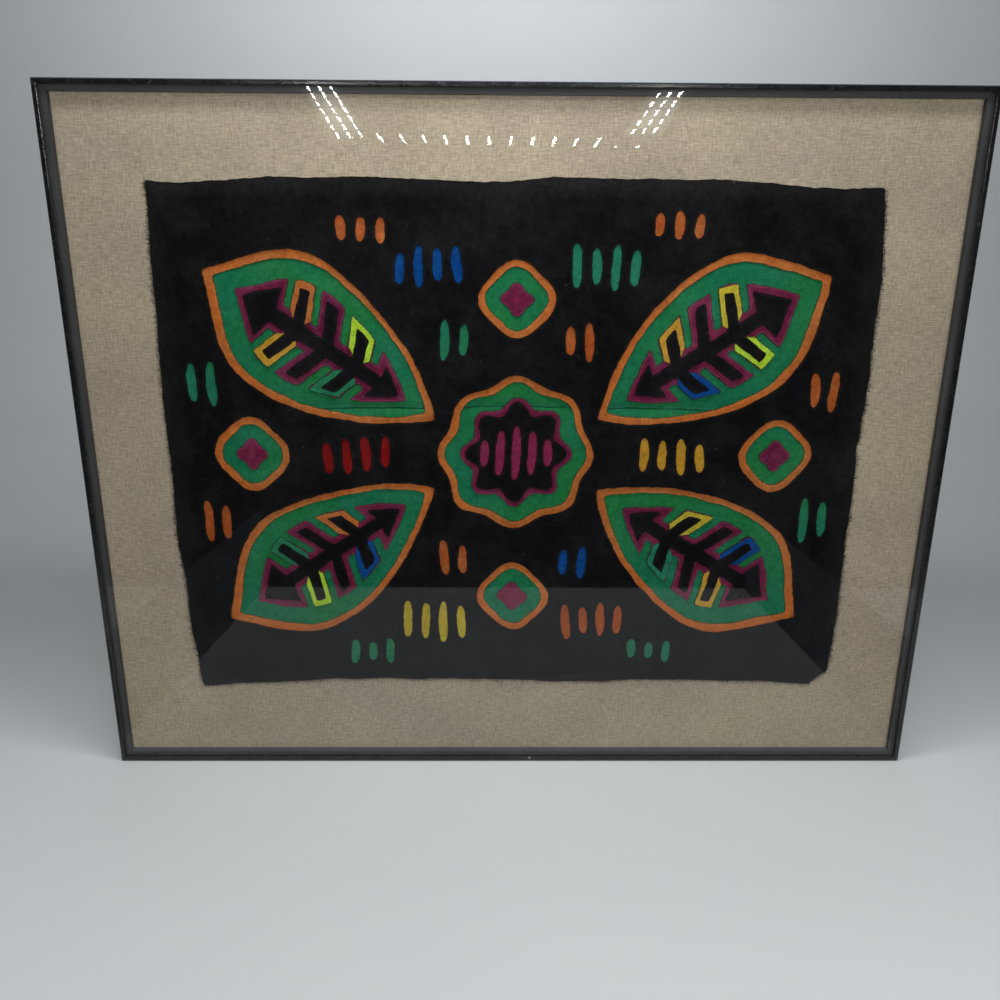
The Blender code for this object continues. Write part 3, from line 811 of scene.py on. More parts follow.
# %% Rings, lattice and triangles
def away_from(loop, inwards):
    """Unit normals of a loop, pointing out of the area it encloses, or into it."""
    run = np.roll(loop, -1, axis=0) - np.roll(loop, 1, axis=0)
    after = np.roll(loop, -1, axis=0)
    turning = np.sign((loop[:, 0] * after[:, 1] - after[:, 0] * loop[:, 1]).sum())
    normal = np.column_stack([run[:, 1], -run[:, 0]]) / np.hypot(*run.T)[:, None] * turning
    return -normal if inwards else normal


def ring_points(loops, offsets):
    """Points at each offset into the cloth from its edge points. loops[0] is the outline, the rest are windows."""
    rings = []
    for number, loop in enumerate(loops):
        into = away_from(loop, inwards=number == 0)
        rings += [loop + into * offset for offset in offsets]
    return np.vstack(rings), np.repeat(np.tile(offsets, len(loops)), np.repeat([len(l) for l in loops], len(offsets)))


def lattice(low, high, step, seed):
    """Points of a triangular lattice over a box, each moved a little at random."""
    random = np.random.default_rng(seed)
    rows = np.arange(low[1], high[1], step * math.sqrt(3) / 2)
    columns = np.arange(low[0], high[0], step)
    x, z = np.meshgrid(columns, rows)
    x[1::2] += step / 2
    points = np.column_stack([x.ravel(), z.ravel()])
    return points + random.uniform(-0.12, 0.12, points.shape) * step


def apart(points, cell=0.08 * MM):
    """The numbers of points that are left when each small square cell keeps only one."""
    return np.sort(np.unique(np.round(points / cell).astype(int), axis=0, return_index=True)[1])


def triangulated(loops, extra):
    """Points and triangles over the cloth: the edge points first, then the extra ones."""
    points = np.vstack([*loops, extra])
    edges, first = [], 0
    for loop in loops:
        own = np.arange(len(loop)) + first
        edges.append(np.column_stack([own, np.roll(own, -1)]))
        first += len(loop)
    found = delaunay_2d_cdt(points.tolist(), np.vstack(edges).tolist(), [], 0, 1e-7)
    corners = np.array([tuple(corner) for corner in found[0]])[:, :2]
    triangles = np.array(found[2])
    assert len(corners) == len(points), (len(points), len(corners))
    on_edge = (triangles < first).all(axis=1)
    middles = corners[triangles[on_edge]].mean(axis=1)
    outline, windows = inside_by(middles, loops[0], loops[1:], 0.002)
    keep = np.ones(len(triangles), bool)
    keep[on_edge] = np.minimum(outline, windows) > 0
    return corners, triangles[keep]


# %% Levels of the panel
LEVELS = {
    "top": dict(depth=5.15 * MM, half=0.24 * MM, raised=0.18 * MM, droop=2.40 * MM),
    "bright": dict(depth=5.42 * MM, half=0.16 * MM, raised=0.04 * MM, droop=0.0),
    "middle": dict(depth=5.90 * MM, half=0.22 * MM, raised=0.10 * MM, droop=1.90 * MM),
    "ground": dict(depth=6.65 * MM, half=0.24 * MM, raised=0.08 * MM, droop=1.05 * MM),
}
ROUNDING = 0.38 * MM
DROOP_WIDTH = 9 * MM
STITCH_PITCH = 2.7 * MM


def pucker(points):
    """The slow rise and fall that all cloths of the panel share."""
    return 0.16 * MM * waves(points, 21, 0.050) + 0.07 * MM * waves(points, 22, 0.016)


def eased(share):
    """A share from 0 to 1 that starts and ends gently."""
    share = np.clip(share, 0, 1)
    return share * share * (3 - 2 * share)


def fold_shape(distance):
    """0 at an edge, rising as a quarter circle to 1."""
    return np.sqrt(1 - (1 - np.clip(distance / ROUNDING, 0, 1)) ** 2)


def stitch_pull(distance, turns):
    """How far the stitches pull the fold down: most at each stitch and near the edge."""
    return 0.13 * MM * (0.5 + 0.5 * np.cos(2 * math.pi * turns)) * np.exp(-distance / (0.9 * MM))


def level_surface(level, points, distance, turned, from_border):
    """Middle depth of a level, its half thickness and its raised front: distance is to any edge, turned to a fold."""
    sizes = LEVELS[level]
    border = 1 - eased(from_border / DROOP_WIDTH)
    middle = sizes["depth"] + pucker(points) + sizes["droop"] * border
    half = sizes["half"] * (1 - 0.45 * border) * fold_shape(distance)
    double = 1 - eased((turned - 1.8 * MM) / (2.4 * MM))
    uneven = 0.8 + 0.3 * waves(points, 23, 0.005)
    raised = sizes["raised"] * (1 - border) * double * uneven * fold_shape(distance)
    return middle, half, raised


print("levels in mm:", {name: round(sizes["depth"] * 1000, 2) for name, sizes in LEVELS.items()})

# %% Measures of a cut
def smallest_box(points):
    """Width and length of the narrowest rectangle round points, from trying turns of five degrees."""
    turns = np.radians(np.arange(0, 180, 5))
    across = np.outer(np.cos(turns), points[:, 0]) + np.outer(np.sin(turns), points[:, 1])
    along = np.outer(-np.sin(turns), points[:, 0]) + np.outer(np.cos(turns), points[:, 1])
    widths, lengths = np.ptp(across, axis=1), np.ptp(along, axis=1)
    best = np.argmin(widths * lengths)
    return float(widths[best]), float(lengths[best])


def area_of(loop):
    """The area that a loop encloses."""
    after = np.roll(loop, -1, axis=0)
    return abs((loop[:, 0] * after[:, 1] - after[:, 0] * loop[:, 1]).sum()) / 2


def stitch_turns(loop):
    """How many stitches lie before each point of a loop, and the loop's number of stitches."""
    run = np.hypot(*(np.roll(loop, -1, axis=0) - loop).T)
    count = max(4, round(run.sum() / STITCH_PITCH))
    return np.concatenate([[0.0], np.cumsum(run)[:-1]]) / run.sum() * count, count


# %% Sewn cloth
RINGS = np.array((0.12, 0.30, 0.60, 1.2, 2.0, 3.0)) * MM
STRAYS = ((0.28 * MM, 0.022), (0.13 * MM, 0.0075), (0.10 * MM, 0.0034))
seams, cuts = [], []


def sewn_cloth(name, outline, windows, level, colour, stands_for=(), seed=0, step=1.1 * MM, lattice_step=3 * MM,
               border=None, raw=False, soften=3, sink=None, rests_on="linen_mount", stray_seed=None,
               sewn=None):  # fmt: skip
    """A closed cloth of one level whose turned edges are folds.

    border says how far its outline lies inside the panel's, raw that its outline isn't turned under,
    and sewn how many of its windows show their stitches, which is all of them unless it is given.
    """
    loops = []
    stray_seed = stray_seed or seed + 1
    for loop in (outline, *windows):
        loop = softened(resampled(loop, step), soften)
        for reach, length in STRAYS:
            loop = loop + reach * np.column_stack([waves(loop, stray_seed + axis, length) for axis in (0, 1)])
        loops.append(loop)
    low, high = loops[0].min(axis=0), loops[0].max(axis=0)
    turns = np.concatenate([stitch_turns(loop)[0] for loop in loops])
    edge_count = len(turns)

    rings, offset = ring_points(loops, RINGS)
    ring_turns = np.concatenate([np.tile(stitch_turns(loop)[0], len(RINGS)) for loop in loops])
    kept = np.minimum(*inside_by(rings, loops[0], loops[1:])) > 0.85 * offset
    wide = lattice(low, high, lattice_step, seed)
    wide = wide[np.minimum(*inside_by(wide, loops[0], loops[1:])) > RINGS[-1] + 0.3 * lattice_step]
    extra = np.vstack([rings[kept], wide])
    extra_turns = np.concatenate([ring_turns[kept], np.zeros(len(wide))])
    single = apart(extra)
    front, front_faces = triangulated(loops, extra[single])
    front_turns = np.concatenate([turns, extra_turns[single]])

    rings, offset = ring_points(loops, np.array((0.7 * MM,)))
    rings = rings[np.minimum(*inside_by(rings, loops[0], loops[1:])) > 0.8 * offset]
    wide = lattice(low, high, 2 * lattice_step, seed + 3)
    wide = wide[np.minimum(*inside_by(wide, loops[0], loops[1:])) > 2.2 * MM]
    extra = np.vstack([rings, wide])
    back, back_faces = triangulated(loops, extra[apart(extra)])

    def surface(points):
        outer, inner = inside_by(points, loops[0], loops[1:])
        distance = np.maximum(np.minimum(outer, inner), 0)
        distance[:edge_count] = 0
        from_border = np.full(len(points), 1.0) if border is None else np.maximum(outer, 0) + border
        turned = np.maximum(inner, 0) if raw else distance
        middle, half, raised = level_surface(level, points, distance, turned, from_border)
        return middle + (sink(points) if sink else 0), half, raised, distance, turned

    middle, half, raised, distance, turned = surface(front)
    pull = stitch_pull(turned, front_turns) * fold_shape(turned)
    front_depth = middle - half - raised + pull
    fold = turned
    middle, half, _, _, _ = surface(back)
    back_depth = (middle + half)[edge_count:]
    points = np.vstack([placed(front, front_depth), placed(back[edge_count:], back_depth)])
    number = np.concatenate([np.arange(edge_count), np.arange(len(front), len(points))])
    fold = np.concatenate([fold, np.full(len(back_depth), 0.005)])
    piece = make_piece(
        name, points, [front_faces, number[back_faces][:, ::-1]], cottons[colour], slot_of(colour), stands_for, fold
    )
    width, length = smallest_box(loops[0])
    area = area_of(loops[0]) - sum(area_of(loop) for loop in loops[1:])
    share = min(max(area / (width * length), 0.3), 1.0)
    cuts.append((piece, dict(flat=(width, length), held="laid", rests_on=[rests_on], area=share * width * length)))
    for number, loop in enumerate(loops[: 1 + sewn] if sewn is not None else loops):
        if not (raw and number == 0) and sewn != 0:
            seams.append((name, level, colour, loop, -away_from(loop, inwards=number == 0)))
    print(f"{name}: {len(points)} points, {len(front_faces) + len(back_faces)} triangles")
    return piece, loops


# %% [markdown]
# ## The top cloth
# The black cotton carries the whole panel: windows for the leaves, the flower and the buds, and
# all the slits. Its outer edge is raw and lies down on the linen, and every other edge is turned.

# %% Black top cloth
window_shapes = [leaf(BLACK_EDGE, False, signs) for signs in QUARTERS.values()]
window_shapes.append(flower(BLACK_EDGE))
window_shapes += [bud(centre, BUD_GREEN_REVEAL + ORANGE_REVEAL) for centre in BUD_PLACES.values()]
top_cloth, top_loops = sewn_cloth(
    "black_top_cloth", panel_edge(0.0), window_shapes + all_slits, "top", "black_cotton", ["top_cloth"],
    seed=100, border=0.0, raw=True,
)  # fmt: skip

# %% Orange cloth below it
window_shapes = [leaf(GREEN_EDGE, False, signs) for signs in QUARTERS.values()]
window_shapes.append(flower(GREEN_EDGE))
window_shapes += [bud(centre, BUD_GREEN_REVEAL) for centre in BUD_PLACES.values()]
patch_windows = [patch_under(group, 0.0003) for group in SLIT_GROUPS if group[0] != "orange"]
orange_cloth, orange_loops = sewn_cloth(
    "orange_middle_cloth", panel_edge(0.004), window_shapes + patch_windows, "middle", "orange_cotton",
    ["orange_cloth"], seed=200, border=0.004, raw=True, step=1.3 * MM, lattice_step=5 * MM,
    sewn=len(window_shapes),
)  # fmt: skip

# %% [markdown]
# ## The green ground
# The green cloth was too small for the panel and was pieced: the upper part's edge is turned under
# and laps over the lower part, which makes the level line that shows in every window it crosses.

# %% Green ground in two parts
SEAM_HEIGHT, SEAM_LAP, SEAM_UNDER = 0.028, 0.5 * MM, 2.5 * MM


def cut_level(loop, height, above):
    """The part of a loop above or below a height, with its cut ends on that line."""
    fine = resampled(loop, 0.002)
    side = fine[:, 1] > height if above else fine[:, 1] < height
    first = np.flatnonzero(side & ~np.roll(side, 1))[0]
    ordered = np.roll(fine, -first, axis=0)[: side.sum()]
    ends = ordered[[-1, 0]].copy()
    ends[:, 1] = height
    line = np.linspace(ends[0], ends[1], 200)
    return np.vstack([ordered, line])


green_upper, _ = sewn_cloth(
    "green_ground_upper", cut_level(panel_edge(0.002), SEAM_HEIGHT - SEAM_LAP, True), [], "ground",
    "green_cotton", ["green_cloth_upper"], seed=300, border=0.002, step=1.5 * MM, lattice_step=3 * MM,
)  # fmt: skip
green_lower, _ = sewn_cloth(
    "green_ground_lower", cut_level(panel_edge(0.002), SEAM_HEIGHT + SEAM_UNDER, False), [], "ground",
    "green_cotton", ["green_cloth_lower"], seed=310, border=0.002, step=1.5 * MM, lattice_step=3 * MM,
    sink=lambda points: 0.62 * MM * eased((points[:, 1] - SEAM_HEIGHT + 3 * MM) / (2.4 * MM)), sewn=0,
)  # fmt: skip

# The seam's fold stands highest, so the painted shade just inside its edge is made to reach further up: its fold
# distance is shrunk there.
mesh = green_upper.data
folds, points = np.empty(len(mesh.vertices)), np.empty(3 * len(mesh.vertices))
mesh.attributes["fold"].data.foreach_get("value", folds)
mesh.vertices.foreach_get("co", points)
folds[points[2::3] < PANEL_MIDDLE + SEAM_HEIGHT + 1.2 * MM] *= 0.4
mesh.attributes["fold"].data.foreach_set("value", folds)

# %% [markdown]
# ## Leaves, flower and buds
# Inside each window stays an island of black, sewn on a rim of magenta that is a little larger.
# Both are cut from the same formula, grown by different amounts.

# %% Motifs
for number, (quarter, signs) in enumerate(QUARTERS.items()):
    black, rim = f"leaf_{quarter}", f"leaf_{quarter}_edging"
    sewn_cloth(f"{black}_black", leaf(0.0, True, signs), [], "top", "black_cotton", [black], seed=400 + 10 * number,
               step=0.9 * MM, soften=2, rests_on=f"{rim}_magenta")  # fmt: skip
    sewn_cloth(f"{rim}_magenta", leaf(EDGING_REVEAL, True, signs), [], "middle", "magenta_cotton", [rim],
               seed=405 + 10 * number, step=0.9 * MM, soften=2, rests_on="green_ground_upper")  # fmt: skip
sewn_cloth("flower_black", flower(0.0), flower_slits, "top", "black_cotton", ["flower"], seed=450,
           rests_on="flower_edging_magenta")  # fmt: skip
sewn_cloth("flower_edging_magenta", flower(EDGING_REVEAL), [], "middle", "magenta_cotton", ["flower_edging"],
           seed=455, rests_on="green_ground_upper")  # fmt: skip
for number, (place, centre) in enumerate(BUD_PLACES.items()):
    sewn_cloth(f"bud_{place}_magenta", bud(centre, 0.0), [], "middle", "magenta_cotton", [f"bud_{place}"],
               seed=460 + 5 * number, step=0.9 * MM, rests_on="green_ground_lower")  # fmt: skip

# %% Patches under the slits
patches = [group for group in SLIT_GROUPS if group[0] != "orange"]
for number, group in enumerate(patches, 1):
    node_name = f"patch_{number:02d}_{group[0]}"
    sewn_cloth(f"slit_{node_name}", patch_under(group, 0.0), [], "middle", f"{group[0]}_cotton", [node_name],
               seed=500 + 5 * number, step=1.5 * MM, lattice_step=3 * MM, soften=1, stray_seed=201, sewn=0)  # fmt: skip

# %% [markdown]
# ## Bright rims
# On some of the leaves' fingers the maker laid a strip of a brighter cotton over the magenta, in a
# U round the finger. Each is the band between two growths of the same finger.

# %% Bright rims round some fingers
BRIGHT = ("gold", "jade", "orange", "lime", "blue", "yellow")
FINGERS = ((1, 1), (1, 3), (-1, 1), (-1, 3))
for number, signs in enumerate(QUARTERS.values()):
    for place, (side, finger) in enumerate(FINGERS):
        colour = BRIGHT[(number * 3 + place * 5 + number // 2) % len(BRIGHT)]
        sewn_cloth(f"finger_rim_{number + 1}_{place + 1}_{colour}", finger_rim(signs, side, finger, -0.0004, 0.0034),
                   [], "bright", f"{colour}_cotton", seed=600 + 20 * number + 3 * place, step=0.8 * MM, soften=1,
                   lattice_step=2 * MM)  # fmt: skip
print("seams:", len(seams))

# %% [markdown]
# ## Stitches
# Every turned edge is held by small slanted stitches: the thread comes up through the fold and goes
# down into the cloth below, just beyond the edge. A thread is a thin tube along a short path. All
# tubes of one thread colour are one piece, worked out as one array: paths, rings on the paths, and
# faces between the rings. Only the seams that show are stitched, since hidden ones can't be seen.

# %% Tube helper
def tubes(paths, beside, radii, sides=4):
    """Closed tubes along many paths: paths is (tubes, rings, 3), beside a direction across each, radii (rings,)."""
    run = np.gradient(paths, axis=1)
    run /= np.linalg.norm(run, axis=2, keepdims=True)
    first = beside[:, None] - (beside[:, None] * run).sum(axis=2, keepdims=True) * run
    first /= np.linalg.norm(first, axis=2, keepdims=True)
    second = np.cross(run, first)
    turn = 2 * math.pi * np.arange(sides)[:, None] / sides
    ring = first[:, :, None] * np.cos(turn) + second[:, :, None] * np.sin(turn)
    points = paths[:, :, None] + ring * np.asarray(radii)[:, None, None]
    number = np.arange(points[..., 0].size).reshape(points.shape[:3])
    here, there = number[:, :-1], number[:, 1:]
    quads = np.stack([here, np.roll(here, -1, axis=2), np.roll(there, -1, axis=2), there], axis=3).reshape(-1, 4)
    return points.reshape(-1, 3), [quads, number[:, 0, ::-1], number[:, -1]]


# %% Stitches along the seams
LEVEL_BELOW = {"top": "middle", "bright": "middle", "middle": "ground", "ground": "ground"}
STITCH_RADIUS = 0.11 * MM
STITCH_PATH = ((-0.60, -0.35, 0.03), (-0.34, -0.17, -0.09), (-0.04, 0.0, -0.02), (0.26, 0.20, 0.05))


def front_of(level, points, within):
    """Depth of a level's front at points that lie this far within its folded edge."""
    distance = np.full(len(points), max(within, 0.0))
    middle, half, raised = level_surface(level, points, distance, distance, np.ones(len(points)))
    return middle - half - raised


def stitch_paths(level, loop, away):
    """One path for each whole stitch of a loop, from the fold's front to the cloth below."""
    turns, count = stitch_turns(loop)
    at = np.arange(count) + 0.2 * np.random.default_rng(count).uniform(-1, 1, count)
    closed = [np.append(values, values[0]) for values in (*loop.T, *away.T)]
    own = np.column_stack([np.interp(at % count, np.append(turns, count), values) for values in closed])
    place, out = own[:, :2], own[:, 2:] / np.hypot(*own[:, 2:].T)[:, None]
    along = np.column_stack([-out[:, 1], out[:, 0]])
    stops = []
    for off, ahead, lift in STITCH_PATH:
        stop = place + (off * out + ahead * along) * MM
        stop_level = level if off < 0.1 else LEVEL_BELOW[level]
        stops.append(placed(stop, front_of(stop_level, stop, -off * MM if off < 0.1 else 1.0) + lift * MM))
    return np.stack(stops, axis=1), np.column_stack([along[:, 0], np.zeros(count), along[:, 1]])


threads = {}
for name, level, colour, loop, away in seams:
    paths, beside = stitch_paths(level, loop, away)
    if level == "ground":
        shown = abs(paths[:, 0, 2] - PANEL_MIDDLE - SEAM_HEIGHT) < 0.003
        paths, beside = paths[shown], beside[shown]
    threads.setdefault(colour, []).append((paths, beside))
for colour, parts in threads.items():
    paths, beside = (np.concatenate(values) for values in zip(*parts))
    points, faces = tubes(paths, beside, [STITCH_RADIUS] * len(STITCH_PATH))
    make_piece(f"stitches_{colour.split('_')[0]}", points, faces, cottons[colour], slot_of(colour), fold=np.full(len(points), 0.001))
    print(f"{colour} stitches: {len(paths)}")

# %% [markdown]
# ## Frayed edges, loose threads and lint
# The panel's left, right and lower edges were cut and never turned, so the ends of the level or
# upright threads stand out as a short fringe. A few threads have come out whole and lie along the
# edge, and a little pale lint lies on the black. Each is a tube with three sides that gets thinner.

# %% Frayed edge and lint
FRAY_PITCH = 0.30 * MM
WHISKER_PITCH = 0.8 * MM


def wisps(start, direction, lengths, depths, curl, radius, random, stops=4):
    """Thin tubes from places on the panel in a direction, bending to one side, from one depth to another."""
    share = np.linspace(0, 1, stops)[None, :, None]
    side = np.column_stack([-direction[:, 1], direction[:, 0]])
    bend = random.normal(0, curl, (len(start), 1, 1))
    flat = start[:, None] + lengths[:, None, None] * (direction[:, None] * share + bend * side[:, None] * share**2)
    depth = (depths[0] + (depths[1] - depths[0]) * share[..., 0]) * np.ones((len(start), 1))
    places = placed(flat.reshape(-1, 2), depth.ravel()).reshape(len(start), stops, 3)
    beside = np.column_stack([side[:, 0], np.zeros(len(side)), side[:, 1]])
    return tubes(places, beside, radius * np.linspace(1.0, 0.45, stops), sides=3)


random = np.random.default_rng(77)
edge = resampled(top_loops[0], FRAY_PITCH)
outwards = away_from(edge, inwards=False)
frayed = outwards[:, 1] < 0.75
edge, outwards = edge[frayed], outwards[frayed]
slant = random.normal(0, 0.32, len(edge))
direction = outwards * np.cos(slant)[:, None] + np.column_stack([-outwards[:, 1], outwards[:, 0]]) * np.sin(slant)[:, None]
lengths = np.clip(random.gamma(4.0, 0.42, len(edge)), 0.6, 3.2) * MM
fringe = wisps(edge - 0.3 * MM * outwards, direction, lengths, (7.50 * MM, 7.86 * MM), 0.35, 0.13 * MM, random)

picked = random.choice(len(edge), 34, replace=False)
run_along = np.column_stack([-outwards[picked, 1], outwards[picked, 0]]) * random.choice((-1, 1), (34, 1))
strays = wisps(
    edge[picked] + outwards[picked] * random.uniform(-0.3, 0.9, (34, 1)) * MM, run_along + 0.10 * outwards[picked],
    random.uniform(4, 11, 34) * MM, (7.62 * MM, 7.80 * MM), 0.10, 0.12 * MM, random, stops=7,
)  # fmt: skip
points = np.vstack([fringe[0], strays[0]])
faces = fringe[1] + [block + len(fringe[0]) for block in strays[1]]
make_piece("frayed_edge_black", points, faces, cottons["black_cotton"], "black_cotton", fold=np.full(len(points), 0.001))

whiskers = {}
for name, level, colour, loop, away in seams:
    if colour in ("black_cotton", "magenta_cotton") and name != "black_top_cloth":
        start = resampled(loop, WHISKER_PITCH)
        out = away_from(start, inwards=name == "flower_black" and len(start) < 100)
        lean = random.uniform(-1.1, 1.1, len(start))
        out = out * np.cos(lean)[:, None] + np.column_stack([-out[:, 1], out[:, 0]]) * np.sin(lean)[:, None]
        below = front_of(LEVEL_BELOW[level], start, 1.0)
        depths = (LEVELS[level]["depth"], float(below.mean()) - 0.06 * MM)
        whiskers.setdefault(colour, []).append(
            wisps(start - 0.15 * MM * out, out, random.uniform(0.4, 1.1, len(start)) * MM, depths, 0.5, 0.055 * MM, random)
        )
for colour, parts in whiskers.items():
    first = np.cumsum([0] + [len(points) for points, _ in parts])
    points = np.vstack([points for points, _ in parts])
    faces = [block + start for (_, blocks), start in zip(parts, first) for block in blocks]
    make_piece(f"whiskers_{colour.split('_')[0]}", points, faces, cottons[colour], colour, fold=np.full(len(points), 0.001))
    print(f"{colour} whiskers: {len(points) // 12}")

count = 60
start = random.uniform((-0.19, -0.14), (0.19, 0.14), (count, 2))
angle = random.uniform(0, 2 * math.pi, count)
lint = wisps(start, np.column_stack([np.cos(angle), np.sin(angle)]), random.uniform(0.8, 2.4, count) * MM,
             (4.55 * MM, 4.50 * MM), 0.5, 0.045 * MM, random)  # fmt: skip
tail_start = np.array(((0.1165, 0.1560), (0.1185, 0.1556)))
tail = wisps(tail_start, np.array(((0.55, -0.83), (-0.35, -0.94))), np.array((4.2, 3.0)) * MM,
             (6.9 * MM, 6.3 * MM), 0.4, 0.09 * MM, random)  # fmt: skip
points = np.vstack([lint[0], tail[0]])
make_piece("pale_lint", points, lint[1] + [block + len(lint[0]) for block in tail[1]], linen_finish, "linen")
print("fringe threads:", len(edge), "strays:", len(picked), "lint:", count)

# %% [markdown]
# ## What is cloth
# Each cloth's flat size, its share of area and the piece it rests on were gathered in the list of cuts as it was made.
# The stitches, the fringe, the lint and the whiskers are listed together by name as going with the top cloth, because
# they would move with it; neither list is used further in this script.

sewn_on = [f"stitches_{colour.split('_')[0]}" for colour in threads] + ["frayed_edge_black", "pale_lint"]
sewn_on += [f"whiskers_{colour.split('_')[0]}" for colour in whiskers]
print("sheets:", 1 + len(cuts))

# %% [markdown]
# ## Floor, lights and world
# A pale floor that sweeps up into a backdrop, soft light from lamps in a roof just above and in
# front of the frame, and a pale surrounding. None of it belongs to the object.

# %% Floor and backdrop
FLOOR_FRONT, FLOOR_BACK, SWEEP, BACKDROP_TOP, FLOOR_HALF = -3.0, 1.0, 0.5, 2.6, 3.0


def floor_finish():
    """A pale, faintly cloudy sheet."""
    finish, tree, shader = new_finish("pale_floor", roughness=0.55, ior=1.4)
    clouds = grain(tree, place_of(tree), (6, 6, 6), 3.0)
    colour = mixed(tree, clouds, (0.70, 0.735, 0.755), (0.74, 0.77, 0.785))
    tree.links.new(colour, shader.inputs["Base Color"])
    return finish


turn = np.radians(np.linspace(0, 90, 13))
run_y = np.concatenate([[FLOOR_FRONT, -1.0], FLOOR_BACK + SWEEP * np.sin(turn), [FLOOR_BACK + SWEEP]])
run_z = np.concatenate([[0.0, 0.0], SWEEP * (1 - np.cos(turn)), [BACKDROP_TOP]])
across = np.linspace(-FLOOR_HALF, FLOOR_HALF, 7)
x, y = np.meshgrid(across, run_y)
z = np.repeat(run_z[:, None], len(across), axis=1)
number = np.arange(x.size).reshape(x.shape)
corners = [number[:-1, :-1], number[:-1, 1:], number[1:, 1:], number[1:, :-1]]
floor = make_piece(
    "floor", np.column_stack([x.ravel(), y.ravel(), z.ravel()]), [np.stack(corners, axis=2).reshape(-1, 4)],
    floor_finish(),
)  # fmt: skip


# %% Lights
def area_light(name, place, target, size, watts, spread=180):
    """A soft rectangular light that looks from one place at another, and isn't seen itself or in mirrors."""
    data = bpy.data.lights.new(name, "AREA")
    data.shape, data.size, data.size_y = "RECTANGLE", *size
    data.energy, data.spread = watts, math.radians(spread)
    light = bpy.data.objects.new(name, data)
    light.location = place
    light.rotation_mode = "QUATERNION"
    light.rotation_quaternion = Vector(np.subtract(target, place)).to_track_quat("-Z", "Y")
    light.visible_camera = light.visible_glossy = light.visible_transmission = False
    bpy.context.scene.collection.objects.link(light)
    return light


area_light("roof_light", (0.0, -0.15, 0.6), (0.0, -0.15, 0.0), (0.7, 0.075), 1.84)
area_light("top_light", (-0.02, -0.10, 0.445), (-0.02, 0.0, 0.365), (0.34, 0.03), 0.078, 110)
area_light("middle_lamp", (-0.01, -0.10, 0.46), (-0.01, 0.0, 0.36), (0.12, 0.03), 0.056, 120)
area_light("front_light", (0.0, -1.1, 0.35), (0.0, 0.0, 0.15), (1.0, 0.3), 9.3)
area_light("side_light", (0.5, -0.6, 0.25), (0.0, 0.0, 0.15), (0.2, 0.3), 0.85)
area_light("backdrop_light", (0.0, 0.35, 1.5), (0.0, 1.4, 0.9), (0.6, 0.4), 7.9, 130)

world = bpy.data.worlds.new("surrounding")
world.use_nodes = True
world.node_tree.nodes["Background"].inputs["Color"].default_value = (0.88, 0.93, 0.97, 1.0)
world.node_tree.nodes["Background"].inputs["Strength"].default_value = 0.05
bpy.context.scene.world = world

# %% [markdown]
# ## What the glass mirrors
# The glass mirrors what is in front of it: the pale floor, a dark room beyond, dim walls to both
# sides, and rows of small lamps. Real lamps and walls would also light the cloth, so what is
# mirrored here is seen by mirror rays alone. The lamps hang where their image shows at a chosen
# place of the picture: the ray through that place, turned back by the glass, leads to them.

# %% Mirrored surroundings
GLASS_FRONT = -0.0142
PICTURE_SCALE = 1000 * CAMERA_LENS / CAMERA_SENSOR


def glowing(name, strength, colour=(1.0, 1.0, 1.0), soft=False):
    """A surface that only shines, as a lamp or a dim wall does in a mirror; a soft one by its fold attribute."""
    finish = bpy.data.materials.new(name)
    finish.use_nodes = True
    tree = finish.node_tree
    shine = tree.nodes.new("ShaderNodeEmission")
    shine.inputs["Color"].default_value = (*colour, 1.0)
    shine.inputs["Strength"].default_value = strength
    if soft:
        share = tree.nodes.new("ShaderNodeAttribute")
        share.attribute_name = "fold"
        tree.links.new(sum_of(tree, "MULTIPLY", share.outputs["Fac"], strength), shine.inputs["Strength"])
    tree.links.new(shine.outputs[0], tree.nodes["Material Output"].inputs["Surface"])
    return finish


def mirrored_only(name, points, strength, colour=(1.0, 1.0, 1.0), shares=None):
    """Quads from groups of four points that show in the glass and the lacquer, and nowhere else."""
    quads = np.arange(len(points)).reshape(-1, 4)
    finish = glowing(name, strength, colour, shares is not None)
    piece = make_piece(name, np.asarray(points, float), [quads], finish, fold=shares, smooth=False)
    piece.visible_camera = piece.visible_diffuse = piece.visible_shadow = False
    return piece


def seen_in_glass(across, down, reach):
    """Places whose mirror images show at these places of the picture, in thousandths, after paths of this length."""
    rays = view + np.outer((across - 500) / PICTURE_SCALE, right) - np.outer((down - 500) / PICTURE_SCALE, up)
    places = np.array(CAMERA_PLACE) + reach * rays / np.linalg.norm(rays, axis=1)[:, None]
    places[:, 1] = 2 * GLASS_FRONT - places[:, 1]
    return places


def dashes(across, down, width, height, slant, reach):
    """Slanted quads round places of the picture, as points in fours."""
    side = np.array((-1, 1, 1, -1)) * width / 2
    rise = np.array((-1, -1, 1, 1)) * height / 2
    corner_down = down[:, None] + rise
    corner_across = across[:, None] + side + slant[:, None] * rise
    return seen_in_glass(corner_across.ravel(), corner_down.ravel(), reach)


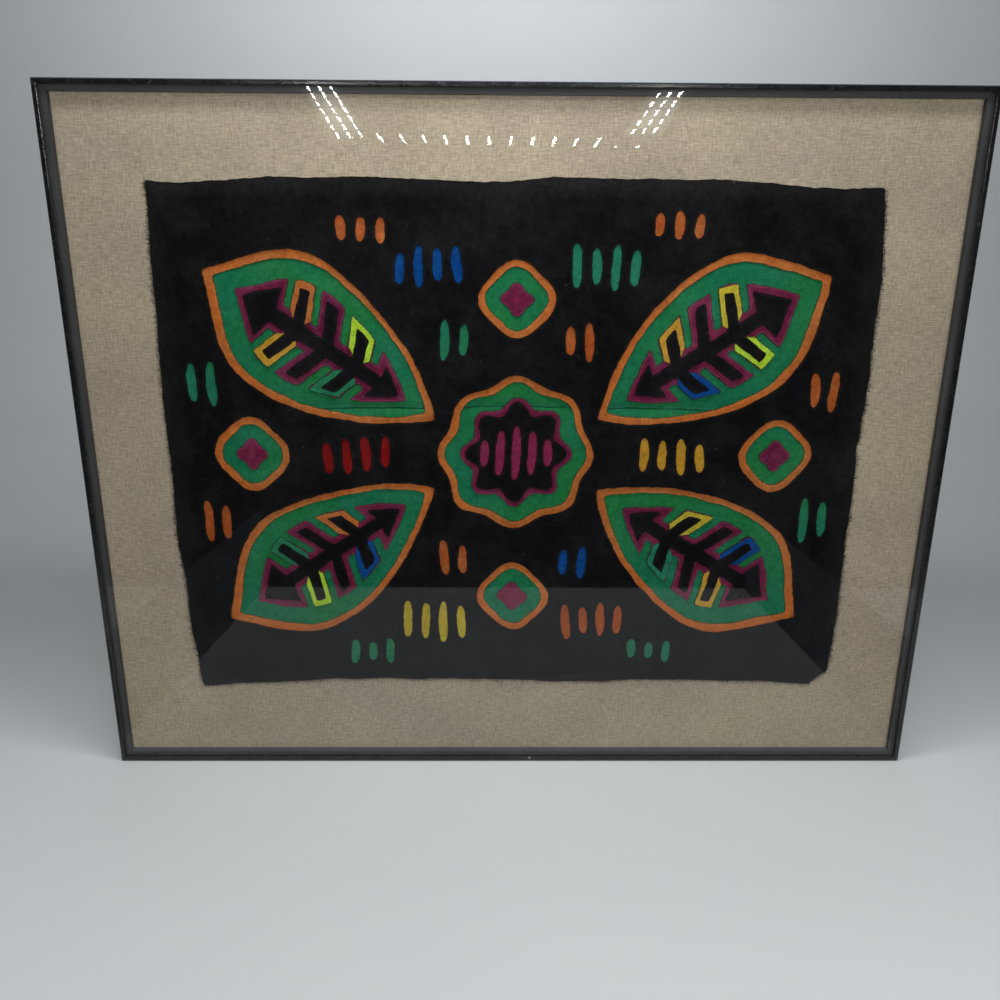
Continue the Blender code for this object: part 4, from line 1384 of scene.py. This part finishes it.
FAR, NEAR, WALL, CARD_TOP, LIFT = -0.62, -0.303, 0.08, 1.6, 0.0015
mirrored_only(
    "dark_room",
    [(-1.6, NEAR - 0.004, LIFT), (1.6, NEAR + 0.004, LIFT), (1.6, FAR, LIFT), (-1.6, FAR, LIFT),
     (-1.6, FAR, LIFT), (1.6, FAR, LIFT), (1.6, FAR, CARD_TOP), (-1.6, FAR, CARD_TOP)],
    0.012,
)  # fmt: skip
mirrored_only(
    "dim_walls",
    [(0.234, NEAR, 0.0), (0.262, -0.03, 0.0), (0.262, -0.03, WALL), (0.234, NEAR, WALL),
     (-0.232, NEAR, 0.0), (-0.266, -0.03, 0.0), (-0.266, -0.03, WALL), (-0.232, NEAR, WALL)],
    0.12, (0.85, 0.93, 1.0),
)  # fmt: skip

number = np.arange(13)
row = 380.6 + 21.7 * number
lamps = [dashes(row, 138 + 0.45 * number, 3.0, 9.0, 0.0065 * (495 - row), 1.09)]
for lines, first, step, across_step, slant in ((7, (308.0, 88.0), (4.9, 7.9), 11.3, 0.62), (5, (658.0, 95.5), (-6.2, 9.0), 11.0, -0.62)):
    line, column = (values.ravel().astype(float) for values in np.meshgrid(np.arange(lines), np.arange(3)))
    lamps.append(dashes(first[0] + step[0] * line + across_step * column, first[1] + step[1] * line - 0.6 * column, 2.9, 5.8, np.full(len(line), slant), 0.8))
lamps = mirrored_only("roof_lamps", np.vstack(lamps), 100.0, (1.0, 0.98, 0.93))
lamps.visible_transmission = False
# lamp_glow is a painted haze round each group of lamps, a glowing surface seen in mirrors alone; its brightness share
# rides in the fold attribute.
middle = (np.arange(12) + 0.5) / 12 - 0.5
u, v = (values.ravel() for values in np.meshgrid(middle, middle))
haze, shares = [], []
for across, down, width, height, slant in ((333.0, 112.0, 52.0, 76.0, 0.6), (657.0, 113.0, 50.0, 66.0, -0.62)):
    corner_u, corner_v = (u[:, None] + np.array((-1, 1, 1, -1)) / 24, v[:, None] + np.array((-1, -1, 1, 1)) / 24)
    fall = np.cos(math.pi * corner_u) ** 2 * np.cos(math.pi * corner_v) ** 2
    haze.append(seen_in_glass((across + width * corner_u + slant * height * corner_v).ravel(),
                              (down + height * corner_v).ravel(), 0.81))  # fmt: skip
    shares.append(fall.ravel())
mirrored_only("lamp_glow", np.vstack(haze), 4.0, (0.9, 1.0, 0.96), np.concatenate(shares))
print("mirrored lamps:", len(lamps.data.polygons))
